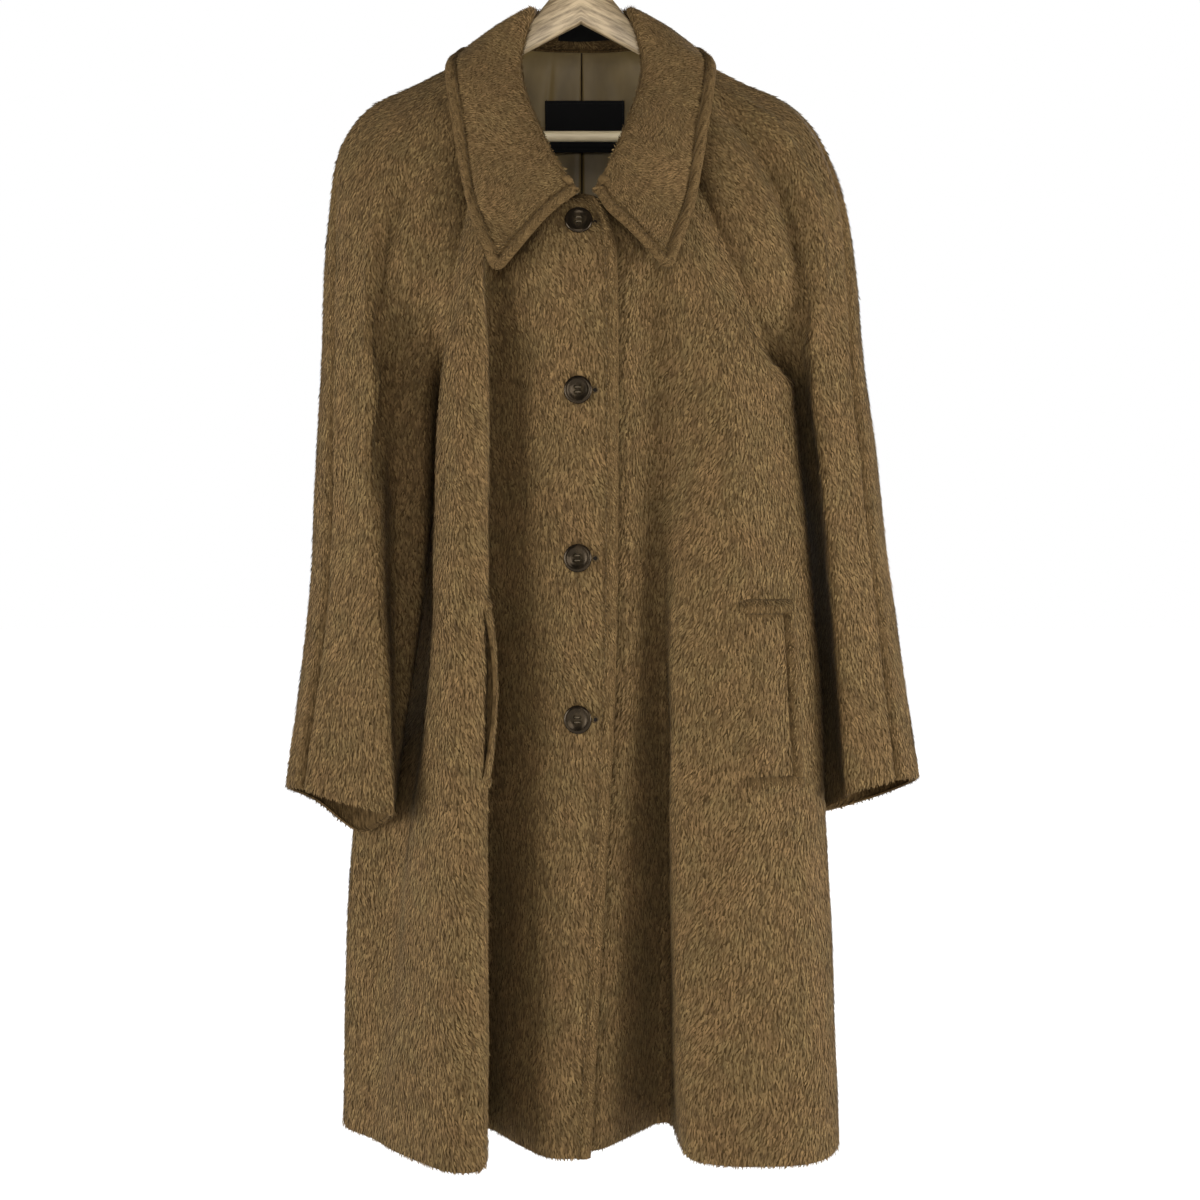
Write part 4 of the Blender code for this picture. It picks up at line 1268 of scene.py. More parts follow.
@dataclass(frozen=True)
class Satin:
    """The taupe lining: a fine twill with a soft gloss, and a near-black line down its middle painted as
    the shadow in the pleat's fold.
    """

    dark: Colour = (0.098, 0.066, 0.0245)
    light: Colour = (0.178, 0.123, 0.048)
    # Painted shadow: the near-black colour of the pleat's fold down the lining's middle.
    seam: Colour = (0.012, 0.008, 0.004)
    pleat_shadow_half: float = 0.5
    cloud_stretch: Point = (1.0, 1.0, 0.35)

    def make(self) -> Material:
        """Make the finish.

        Returns:
            The material.
        """
        shader = Shader("lining_satin")
        # Painted shadow of the pleat: near-black within half a millimetre of X = 0, fading to the satin by
        # one millimetre.
        out = abs(shader.node("ShaderNodeSeparateXYZ", {}, {0: shader.object_place()}))
        plain = shader.ramp(out, self.pleat_shadow_half * MM, 2 * self.pleat_shadow_half * MM)
        twill = shader.node("ShaderNodeTexWave", {"bands_direction": "DIAGONAL"}, {
            "Vector": shader.cloth_place((1.0, 1.0, 1.0)), "Scale": 420.0, "Distortion": 0.6})
        cloud = shader.noise(shader.object_place(self.cloud_stretch), scale=38.0, detail=3.0)
        satin = shader.mix(shader.ramp(cloud, low=0.3, high=0.7), self.dark, self.light)
        shader.set(Base_Color=shader.mix(plain, self.seam, satin), Roughness=0.34 + 0.14 * cloud,
                   Normal=shader.bump(twill, distance=0.00012, strength=0.5), Specular_IOR_Level=0.2)
        return shader.material


@dataclass(frozen=True)
class BlackTape:
    """Woven black tape of the bare label and the hang loop."""

    dark: Colour = (0.002, 0.002, 0.002)
    light: Colour = (0.008, 0.0075, 0.007)

    def make(self) -> Material:
        """Make the finish.

        Returns:
            The material.
        """
        shader = Shader("black_tape")
        ribs = shader.node("ShaderNodeTexWave", {"bands_direction": "Y"}, {
            "Vector": shader.cloth_place((1.0, 1.0, 1.0)), "Scale": 330.0, "Distortion": 0.4})
        shader.set(Base_Color=shader.mix(ribs, self.dark, self.light), Roughness=0.8,
                   Normal=shader.bump(ribs, distance=0.0002, strength=0.7), Specular_IOR_Level=0.12)
        return shader.material


@dataclass(frozen=True)
class Horn:
    """Dark polished horn with faint streaks, paler in the dish."""

    dark: Colour = (0.0035, 0.0024, 0.0014)
    streak: Colour = (0.014, 0.009, 0.0045)
    dish: Colour = (0.040, 0.029, 0.016)
    shine: Colour = (0.9, 0.68, 0.45)
    streak_stretch: Point = (1.0, 1.0, 0.3)

    def make(self) -> Material:
        """Make the finish.

        Returns:
            The material.
        """
        shader = Shader("dark_horn")
        fibres = shader.noise(shader.object_place(self.streak_stretch), scale=190.0, detail=4.0)
        streaks = shader.ramp(fibres, low=0.45, high=0.75)
        out = shader.node("ShaderNodeAttribute", {"attribute_name": "out"}).out("Fac")
        inside = shader.ramp(out, low=0.62, high=0.2) * shader.ramp(streaks, low=-0.3, high=0.9)
        rim = shader.mix(streaks, self.dark, self.streak)
        shader.set(Base_Color=shader.mix(inside, rim, self.dish), Roughness=0.2 + 0.14 * streaks,
                   Specular_IOR_Level=0.3, Specular_Tint=(*self.shine, 1.0))
        return shader.material


@dataclass(frozen=True)
class Oak:
    """Pale oak under satin lacquer, with grain along each arm."""

    name: str = "oak"
    pale: Colour = (0.345, 0.262, 0.154)
    grain: Colour = (0.082, 0.053, 0.024)
    slope: float = 27.0
    along_rate: float = 14.0
    over_rate: float = 160.0
    fibre_share: float = 0.75
    band_share: float = 0.25

    def make(self) -> Material:
        """Make the finish.

        Returns:
            The material.
        """
        shader = Shader(self.name)
        parts = shader.node("ShaderNodeSeparateXYZ", {}, {0: shader.object_place()})
        out, y, z = abs(parts.out("X")), parts.out("Y"), parts.out("Z")
        along = out * cos(radians(self.slope)) - z * sin(radians(self.slope))
        over = out * sin(radians(self.slope)) + z * cos(radians(self.slope))
        place = shader.node("ShaderNodeCombineXYZ", {}, {
            "X": along * self.along_rate, "Y": y * self.over_rate, "Z": over * self.over_rate})
        fibres = shader.noise(place, scale=2.2, detail=5.0, roughness=0.65)
        bands = shader.noise(place, scale=0.35, detail=3.0)
        shade = shader.ramp(fibres * self.fibre_share + bands * self.band_share, low=0.37, high=0.58)
        shader.set(Base_Color=shader.mix(shade, self.grain, self.pale), Roughness=0.36 + 0.12 * fibres,
                   Normal=shader.bump(fibres, distance=0.00025, strength=0.6))
        return shader.material


@dataclass(frozen=True)
class SteelWire:
    """Bright drawn wire."""

    colour: Colour = (0.62, 0.61, 0.59)

    def make(self) -> Material:
        """Make the finish.

        Returns:
            The material.
        """
        shader = Shader("steel_wire")
        wear = shader.noise(shader.object_place(), scale=240.0, detail=3.0)
        shader.set(Base_Color=(*self.colour, 1.0), Metallic=1.0, Roughness=0.2 + 0.2 * wear)
        return shader.material


@dataclass(frozen=True)
class Thread:
    """Sewing thread, twisted."""

    name: str
    dark: Colour
    light: Colour

    def make(self) -> Material:
        """Make the finish.

        Returns:
            The material.
        """
        shader = Shader(self.name)
        twist = shader.noise(shader.object_place(), scale=1500.0, detail=1.0)
        shader.set(Base_Color=shader.mix(twist, self.dark, self.light), Roughness=0.7,
                   Normal=shader.bump(twist, distance=0.0003), Specular_IOR_Level=0.1)
        return shader.material


# Geometry Nodes for what repeats


class GeometryTree(NodeGraph):
    """A Geometry Nodes tree with named inputs."""

    def __init__(self, name: str, inputs: dict[str, tuple[str, Any]]) -> None:
        """Make the tree.

        Args:
            name: The tree's name.
            inputs: Socket type and default of each named input.
        """
        super().__init__(bpy.data.node_groups.new(name, "GeometryNodeTree"))
        face = self.tree.interface
        face.new_socket("Geometry", in_out="INPUT", socket_type="NodeSocketGeometry")
        face.new_socket("Geometry", in_out="OUTPUT", socket_type="NodeSocketGeometry")
        self.identifiers: dict[str, str] = {}
        for label, (kind, default) in inputs.items():
            socket = face.new_socket(label, in_out="INPUT", socket_type=kind)
            if default is not None:
                socket.default_value = default
            self.identifiers[label] = socket.identifier
        self.group = self.node("NodeGroupInput")

    def given(self, name: str) -> Sock:
        """One of the tree's inputs."""
        return self.group.out(name)

    def attribute(self, name: str, kind: str = "FLOAT") -> Sock:
        """A named attribute of the geometry."""
        return self.node("GeometryNodeInputNamedAttribute", {"data_type": kind}, {"Name": name})

    def random(self, low: float, high: float, seed: Sock) -> Sock:
        """A random number for each element."""
        return self.node("FunctionNodeRandomValue", {"data_type": "FLOAT"}, {
            "Min": low, "Max": high, "Seed": seed})

    def upright(self, facing: Sock, axis: str, along: Sock) -> Sock:
        """A rotation that turns Z to a facing, and another axis as near as it can to a vector."""
        stood = self.node("FunctionNodeAlignRotationToVector", {"axis": "Z"}, {"Vector": facing})
        return self.node("FunctionNodeAlignRotationToVector", {"axis": axis, "pivot_axis": "Z"}, {
            "Rotation": stood, "Vector": along})

    def turned(self, rotation: Sock, angles: dict[str | int, Any]) -> Sock:
        """A rotation turned further about its own axes."""
        turn = self.node("ShaderNodeCombineXYZ", {}, angles)
        return self.node("FunctionNodeRotateRotation", {"rotation_space": "LOCAL"}, {
            "Rotation": rotation, "Rotate By": self.node("FunctionNodeEulerToRotation", {}, {0: turn})})

    def copies(self, points: Sock, name: str, placed: dict[str | int, Any]) -> Sock:
        """Copies of the object in a named input, one at each point."""
        source = self.node("GeometryNodeObjectInfo", {}, {"Object": self.given(name)}).out("Geometry")
        return self.node("GeometryNodeInstanceOnPoints", {}, {
            "Points": points, "Instance": source, **placed})

    def finish(self, instances: Sock, finish: Material) -> None:
        """Realise the instances, give them a material and end the tree.

        Args:
            instances: The instances.
            finish: Their material.
        """
        real = self.node("GeometryNodeRealizeInstances", {}, {"Geometry": instances})
        smooth = self.node("GeometryNodeSetShadeSmooth", {}, {"Geometry": real})
        dressed = self.node("GeometryNodeSetMaterial", {}, {"Geometry": smooth, "Material": finish})
        self.node("NodeGroupOutput", {}, {"Geometry": dressed})

    def grow(self, base: Piece, values: dict[str, Any]) -> Piece:
        """Run the tree on an object and keep the result as its plain mesh.

        Args:
            base: The object; its mesh is replaced.
            values: Values of the named inputs.

        Returns:
            The same object.
        """
        modifier = base.modifiers.new(self.tree.name, "NODES")
        modifier.node_group = self.tree
        for name, value in values.items():
            modifier[self.identifiers[name]] = value
        grown = evaluated(base)
        base.modifiers.remove(modifier)
        base.data = grown
        grown.name = base.name
        return base


def hidden_object(name: str, points: Any, faces: Any) -> Piece:
    """An object outside the scene, whose mesh a tree repeats.

    Args:
        name: Its name.
        points: Points in metres.
        faces: Faces as indices of points.

    Returns:
        The object.
    """
    mesh = bpy.data.meshes.new(name)
    mesh.from_pydata(points, [], faces)
    mesh.shade_smooth()
    return bpy.data.objects.new(name, mesh)


@dataclass
class Nap:
    """The brushed nap: short locks of wool laid over a cloth's outside."""

    length: float = 6.6
    width: float = 1.7
    height: float = 1.0
    swing: float = 20.0
    pitch: float = 7.0
    most_dense: float = 900000.0
    uneven: Pair = (0.7, 1.3)
    count: int = 0
    tree: GeometryTree = field(init=False)
    lock: Piece = field(init=False)

    LOCK_POINTS = ((0, 0, -0.2), (-0.5, 0.45, 0.35), (0, 1, 1.0), (0.5, 0.45, 0.35))
    LOCK_FACES = ((0, 2, 1), (0, 3, 2))

    def __post_init__(self) -> None:
        """Build the tree."""
        tree = GeometryTree("nap", {
            "Spacing": ("NodeSocketFloat", 2.0 * MM),
            "Lock": ("NodeSocketObject", None),
            "Size": ("NodeSocketVector", (1.0, 1.0, 1.0)),
            "Swing": ("NodeSocketFloat", radians(self.swing)),
            "Pitch": ("NodeSocketFloat", radians(self.pitch)),
            "Seed": ("NodeSocketInt", 0),
        })
        seed = tree.given("Seed")
        points = tree.node("GeometryNodeDistributePointsOnFaces", {"distribute_method": "POISSON"}, {
            "Mesh": tree.given("Geometry"), "Distance Min": tree.given("Spacing"),
            "Density Max": self.most_dense, "Density Factor": tree.attribute("thinning"), "Seed": seed})
        combed = tree.upright(points.out("Normal"), "Y", tree.attribute("comb", "FLOAT_VECTOR"))
        laid = tree.turned(combed, {
            "X": self.spread(tree, tree.given("Pitch"), seed),
            "Z": self.spread(tree, tree.given("Swing"), seed + 1)})
        size = tree.random(*self.uneven, seed + 2) * tree.attribute("stature")
        scale = tree.node("ShaderNodeVectorMath", {"operation": "SCALE"}, {
            0: tree.given("Size"), "Scale": size})
        locks = tree.copies(points, "Lock", {"Rotation": laid, "Scale": scale})
        toned = tree.node("GeometryNodeStoreNamedAttribute", {"data_type": "FLOAT", "domain": "INSTANCE"}, {
            "Geometry": locks, "Name": "tone", "Value": tree.random(0.0, 1.0, seed + 3)})
        tree.finish(toned, WoolNap().make())
        self.tree = tree
        self.lock = hidden_object("lock_of_wool", self.LOCK_POINTS, self.LOCK_FACES)

    @staticmethod
    def spread(tree: GeometryTree, most: Sock, seed: Sock) -> Sock:
        """A random angle between minus and plus the most."""
        return tree.random(-1.0, 1.0, seed + 7) * most

    def cover(self, cloth: Cloth, lift: float = 0.0) -> Piece:
        """Lay nap over a cloth.

        Args:
            cloth: The cloth.
            lift: How far the surface stands off the cloth's points, in millimetres.

        Returns:
            The nap as one piece.
        """
        self.count += 1
        made = self.tree.grow(surface(cloth, lift), {
            "Lock": self.lock, "Seed": 10 * self.count, "Spacing": cloth.nap_spacing * MM,
            "Size": (self.width * MM, self.length * MM, self.height * MM)})
        for name in ("comb", "thinning", "stature"):
            if name in made.data.attributes:
                made.data.attributes.remove(made.data.attributes[name])
        return made


@dataclass
class Stitches:
    """Rows of sewing: short slanted stitches of thread along a path."""

    thread: Thread
    pitch: float = 4.2
    length: float = 3.0
    radius: float = 0.4
    slant: float = 7.0
    tree: GeometryTree = field(init=False)
    stitch: Piece = field(init=False)

    ARCH = ((-1.0, -0.9), (-0.7, 0.1), (0.0, 0.45), (0.7, 0.1), (1.0, -0.9))
    SIDES = 5

    def __post_init__(self) -> None:
        """Build the tree."""
        tree = GeometryTree("stitches", {
            "Pitch": ("NodeSocketFloat", self.pitch * MM),
            "Stitch": ("NodeSocketObject", None),
            "Slant": ("NodeSocketFloat", radians(self.slant)),
        })
        curve = tree.node("GeometryNodeMeshToCurve", {}, {"Mesh": tree.given("Geometry")})
        spaced = tree.node("GeometryNodeResampleCurve", {"mode": "LENGTH"}, {
            "Curve": curve, "Length": tree.given("Pitch")})
        tangent = tree.node("GeometryNodeInputTangent")
        along = tree.upright(tree.attribute("facing", "FLOAT_VECTOR"), "X", tangent)
        slanted = tree.turned(along, {"Z": tree.given("Slant")})
        tree.finish(tree.copies(spaced, "Stitch", {"Rotation": slanted}), self.thread.make())
        self.tree = tree
        self.stitch = self.one_stitch()

    def one_stitch(self) -> Piece:
        """A single stitch: a short thread that dips into the cloth at both ends.

        Returns:
            The stitch, outside the scene.
        """
        half = self.length / 2
        path = [(half * share, 0.0, height) for share, height in self.ARCH]
        points, faces = tube(path, self.radius, self.SIDES)
        return hidden_object("stitch", (points * MM).tolist(), faces)

    def sew(self, name: str, rows: Rows) -> Piece:
        """Sew along paths.

        Args:
            name: The piece's name.
            rows: Points and normals of each path, in millimetres.

        Returns:
            All the stitches as one piece.
        """
        points = np.concatenate([row[0] for row in rows])
        facing = np.concatenate([row[1] for row in rows])
        edges, first = [], 0
        for path, _ in rows:
            edges += [(first + i, first + i + 1) for i in range(len(path) - 1)]
            first += len(path)
        mesh = bpy.data.meshes.new(name)
        mesh.from_pydata((points * MM).tolist(), edges, [])
        mesh.attributes.new("facing", "FLOAT_VECTOR", "POINT").data.foreach_set("vector", facing.ravel())
        return self.tree.grow(linked(name, mesh), {"Stitch": self.stitch})


# The coat

WOOL_THREAD = Thread("wool_thread", (0.040, 0.025, 0.010), (0.085, 0.055, 0.023))
BLACK_THREAD = Thread("black_thread", (0.006, 0.006, 0.006), (0.03, 0.029, 0.028))
BUTTON_THREAD = Thread("button_thread", (0.045, 0.034, 0.020), (0.13, 0.10, 0.065))
# Painted shade: the near-black of the disc in each buttonhole's eye, made with the thread finish.
EYE_SHADE = Thread("eyelet_shade", (0.004, 0.003, 0.002), (0.010, 0.007, 0.004))
BAR_WOOD = Oak("bar_wood", (0.82, 0.68, 0.43), (0.62, 0.49, 0.29), slope=0.0)


@dataclass
class Tailor:
    """Shared finishes and trades, and how pieces join the frame."""

    ground: Material = field(default_factory=lambda: WoolGround().make())
    nap: Nap = field(default_factory=Nap)
    stitches: Stitches = field(default_factory=lambda: Stitches(WOOL_THREAD))
    black_stitches: Stitches = field(
        default_factory=lambda: Stitches(BLACK_THREAD, pitch=2.4, length=1.8, radius=0.3))

    @staticmethod
    def place(piece: Piece, slot: str, *nodes: str) -> Piece:
        """Fix a piece to the frame.

        Args:
            piece: The piece.
            slot: Not used.
            nodes: CAD nodes that it stands for.

        Returns:
            The piece.
        """
        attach(piece, BODY)
        if nodes:
            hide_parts(*nodes)
        LOG.info("%s: %d faces", piece.name, len(piece.data.polygons))
        return piece

    def sheet(self, cloth: Cloth, node: str, wall: float = 2.4, gap: float | None = None,
              sewing: Rows = ()) -> None:
        """Args:
            cloth: The panel's surface.
            node: The CAD node it stands for.
            wall: Its thickness.
            gap: For a piece laid on a panel, how far its inner side stands off the surface;
                otherwise the outer side is the surface.
            sewing: Rows of stitches on it.
        """
        inner = -wall if gap is None else gap
        cloth.name = f"{node}_cloth"
        piece = self.place(shell(cloth, wall, inner, self.ground), "brushed_wool", node)
        extras = [self.place(self.nap.cover(cloth, inner + wall), "brushed_wool")]
        if sewing:
            raised = [(points + facing * (inner + wall), facing) for points, facing in sewing]
            extras.append(self.place(self.stitches.sew(f"{node}_stitches", raised), "brushed_wool"))
        self.declare(piece, cloth, extras)

    @staticmethod
    def declare(piece: Piece, cloth: Cloth, extras: Sequence[Piece] = ()) -> None:
        """Log a piece's name with the width, length and area of its cloth's cut."""
        cloth.area()
        width, length = (metres / MM for metres in cloth.flat())
        LOG.info("%s: cut %.0f by %.0f mm, %.4f m2", piece.name, width, length, cloth.area())


HEM_ROWS = 2
HEM_STEPS = 4


def woven(lines: Sequence[Grid], steps: int) -> Grid:
    """A panel's grid through lines that run down it, with some steps from each line to the next."""
    return np.stack([across(row, (steps,) * (len(lines) - 1)) for row in np.stack(lines, axis=1)])


def fine_hem(grid: Grid) -> Grid:
    """A panel's grid with its last stretches of rows divided."""
    return refined(grid, 0, -HEM_ROWS - 1, -1, HEM_STEPS)


def body_line(line: BodyLine, side: int, neck_side: int, yoke_z: float,
              seam_at: Curve | None) -> Grid:
    """One line of a front or the back, from the neckline to the hem.

    Args:
        line: The table's row.
        side: The sign by which "out" becomes X.
        neck_side: The side of the neck where it starts.
        yoke_z: Height of its yoke point.
        seam_at: A seam that it keeps to down to the underarm.

    Returns:
        One point for each row of the panel.
    """
    points = [
        NECK.point(neck_side, line.neck),
        (side * line.yoke, line.yoke_y, yoke_z),
        (side * line.chest, line.chest_y, LEVELS.chest_z),
        (side * line.pocket, line.pocket_y, LEVELS.pocket_z),
        (side * line.low, line.low_y, LEVELS.low_z),
        (side * line.hem, line.hem_y, LEVELS.hem_z),
    ]
    if seam_at is None:
        return steady(LEVELS.body, points, LEVELS.body_rows)
    upper = SEAMS.beside(seam_at, LEVELS.body[:3], points[:3], LEVELS.upper_rows)
    return np.concatenate((upper, steady(LEVELS.body[2:], points[2:], LEVELS.lower_rows)))


@dataclass
class Front:
    """One front of the coat, from its edge to the raglan and side seams."""

    side: Side
    table: tuple[BodyLine, ...]
    creases: tuple[Crease, ...]
    steps: int = 6
    edge_columns: int = 3
    edge_steps: int = 5
    corner_start: float = 10.0
    corner_out: float = 34.0
    corner_drop: float = 120.0
    lap_inset: tuple[float, ...] = (8.0, 8.0, 5.0, 2.0)
    lap_back: tuple[float, ...] = (8.0, 8.0, -2.0, 2.0)
    neck_rise: float = 12.0
    rise_reach: float = 26.0
    rise_out: float = 48.0
    lean: float = -14.0

    def surface(self) -> Cloth:
        """The front's outer surface.

        Returns:
            The surface, before its creases.
        """
        sign = self.side.value
        rows = LEVELS.body_rows

        def seam_at(down: Any) -> Grid:
            """The raglan seam at distances down the cloth."""
            return SEAMS.raglan(self.side, True, down)

        seam_yoke = seam_at(LEVELS.yoke)[0]
        reach = sign * seam_yoke[0] - self.table[0].yoke
        lines = []
        for line in self.table:
            share = (line.yoke - self.table[0].yoke) / reach
            yoke_z = LEVELS.yoke_z + (seam_yoke[2] - LEVELS.yoke_z) * share
            close = seam_at if line.name in SEAMS.close_lines else None
            lines.append(body_line(line, sign, sign, yoke_z, close))
        if self.side is Side.RIGHT:
            self.round_corner(lines[0], rows)
        else:
            self.tuck_under(lines, rows)
        lines.append(SEAMS.body_edge(self.side, True))
        grid = fine_hem(refined(woven(lines, self.steps), 1, 0, self.edge_columns, self.edge_steps))
        if self.side is Side.RIGHT:
            near = np.clip(1 - abs(grid[0, :, 0]) / self.rise_out, 0.0, 1.0) ** 0.5
            fall = np.exp(-(np.linalg.norm(grid - grid[:1], axis=-1) / self.rise_reach) ** 2)
            grid[..., 2] += self.neck_rise * near * fall
        word = self.side.name.lower()
        return Cloth(f"front_{word}", grid, self.side is Side.LEFT, Edge.STITCHED, Edge.BRUSHED,
                     Edge.SEAM, Edge.FOLDED, self.creases, lean=self.lean * sign,
                     stitch_show=0.15, stitch_depth=0.8, puff=2.4)

    def round_corner(self, edge: Grid, rows: Grid) -> None:
        """Bend the top of the front edge in to the collar's end."""
        rest = np.clip(1 - rows / self.corner_drop, 0.0, 1.0)
        bent = self.corner_start + (self.corner_out - self.corner_start) * np.sqrt(1 - rest * rest)
        edge[:, 0] = np.where(rows < self.corner_drop, bent, edge[:, 0])

    def tuck_under(self, lines: list[Grid], rows: Grid) -> None:
        """Hold the lap back behind the other front, and further at the neck."""
        for line, inset, back in zip(lines, self.lap_inset, self.lap_back):
            line[:, 1] += back + inset * np.clip(1 - rows / LEVELS.yoke, 0.0, 1.0)

    def line_column(self, name: str) -> int:
        """Column of the grid where a named line runs."""
        plain = self.steps * [line.name for line in self.table].index(name)
        return plain + self.edge_columns * (self.edge_steps - 1)


@dataclass
class Back:
    """The back, from the wearer's right side to the left."""

    creases: tuple[Crease, ...]
    steps: int = 9

    def surface(self) -> Cloth:
        """The back's outer surface.

        Returns:
            The surface, before its creases.
        """
        def seam_at(side: Side) -> Curve:
            """The raglan seam of a side, by distance down the cloth."""
            return lambda down: SEAMS.raglan(side, False, down)

        lines = [SEAMS.body_edge(Side.RIGHT, False)]
        for line in BACK:
            side = Side.RIGHT if line.yoke < 0 else Side.LEFT
            close = seam_at(side) if line.name in SEAMS.close_lines else None
            lines.append(body_line(line, 1, side.value, LEVELS.back_yoke_z, close))
        lines.append(SEAMS.body_edge(Side.LEFT, False))
        grid = fine_hem(woven(lines, self.steps))
        return Cloth("back", grid, False, Edge.BRUSHED, Edge.BRUSHED, Edge.SEAM,
                     Edge.FOLDED, self.creases)


@dataclass
class Sleeve:
    """A two-piece raglan sleeve with a seam along the top of the arm."""

    side: Side
    front_creases: tuple[Crease, ...]
    back_creases: tuple[Crease, ...]
    steps: int = 5
    overarm_z: Point = (-157.0, -187.0, -250.0)

    def line(self, line: SleeveLine, seam_at: Curve) -> Grid:
        """One line along the sleeve, from the neckline to the cuff.

        Args:
            line: The table's row.
            seam_at: The raglan seam that it hangs from.

        Returns:
            One point for each row.
        """
        sign = self.side.value
        seam_z = seam_at((LEVELS.shoulder, LEVELS.tip, LEVELS.cap))[:, 2]
        heights = [top + (seam - top) * line.drop for top, seam in zip(self.overarm_z, seam_z)]
        points = [
            NECK.point(sign, line.neck),
            (sign * line.shoulder, line.shoulder_y, heights[0]),
            (sign * line.tip, line.tip_y, heights[1]),
            (sign * line.cap, line.cap_y, heights[2]),
            (sign * line.chest, line.chest_y, LEVELS.chest_z),
            (sign * line.elbow, line.elbow_y, LEVELS.elbow_z),
            (sign * line.cuff, line.cuff_y, cuff_z(self.side, line.cuff, line.cuff_y)),
        ]
        if line.name not in SEAMS.close_lines:
            return steady(LEVELS.sleeve, points, np.concatenate((LEVELS.upper_rows, LEVELS.sleeve_rows)))
        upper = SEAMS.beside(seam_at, LEVELS.sleeve[:5], points[:5], LEVELS.upper_rows)
        return np.concatenate((upper, steady(LEVELS.sleeve[4:], points[4:], LEVELS.sleeve_rows)))

    def surfaces(self) -> tuple[Cloth, Cloth]:
        """The outer surfaces of the sleeve's front and back.

        Returns:
            The two surfaces, before their creases.
        """
        def front_at(down: Any) -> Grid:
            """The front raglan seam."""
            return SEAMS.raglan(self.side, True, down)

        def back_at(down: Any) -> Grid:
            """The back raglan seam."""
            return SEAMS.raglan(self.side, False, down)

        table = SLEEVE[self.side]
        lines = [SEAMS.sleeve_edge(self.side, True)]
        lines += [self.line(line, front_at if line.neck >= 0 else back_at) for line in table]
        lines.append(SEAMS.sleeve_edge(self.side, False))
        whole = fine_hem(woven(lines, self.steps))
        overarm = self.steps * (1 + [line.name for line in table].index("overarm"))
        word = self.side.name.lower()
        mirrored = self.side is Side.LEFT
        return (Cloth(f"sleeve_{word}_front", whole[:, :overarm + 1], mirrored, Edge.BRUSHED, Edge.SEAM,
                      Edge.SEAM, Edge.FOLDED, self.front_creases),
                Cloth(f"sleeve_{word}_back", whole[:, overarm:], mirrored, Edge.SEAM, Edge.BRUSHED,
                      Edge.SEAM, Edge.FOLDED, self.back_creases))


def cloth_tree(cloths: Sequence[Cloth]) -> BVHTree:
    """Search tree of panels, for pieces that rest on them.

    Args:
        cloths: The panels.

    Returns:
        The tree, in millimetres.
    """
    points: list = []
    faces: list = []
    for cloth in cloths:
        faces += grid_faces(*cloth.points.shape[:2], len(points))
        points += cloth.points.reshape(-1, 3).tolist()
    return BVHTree.FromPolygons(points, faces)


def from_front(tree: BVHTree, x: float, z: float) -> Vector:
    """The point of the cloth that shows first from straight ahead."""
    return tree.ray_cast((x, IN_FRONT_Y, z), (0.0, 1.0, 0.0))[0]


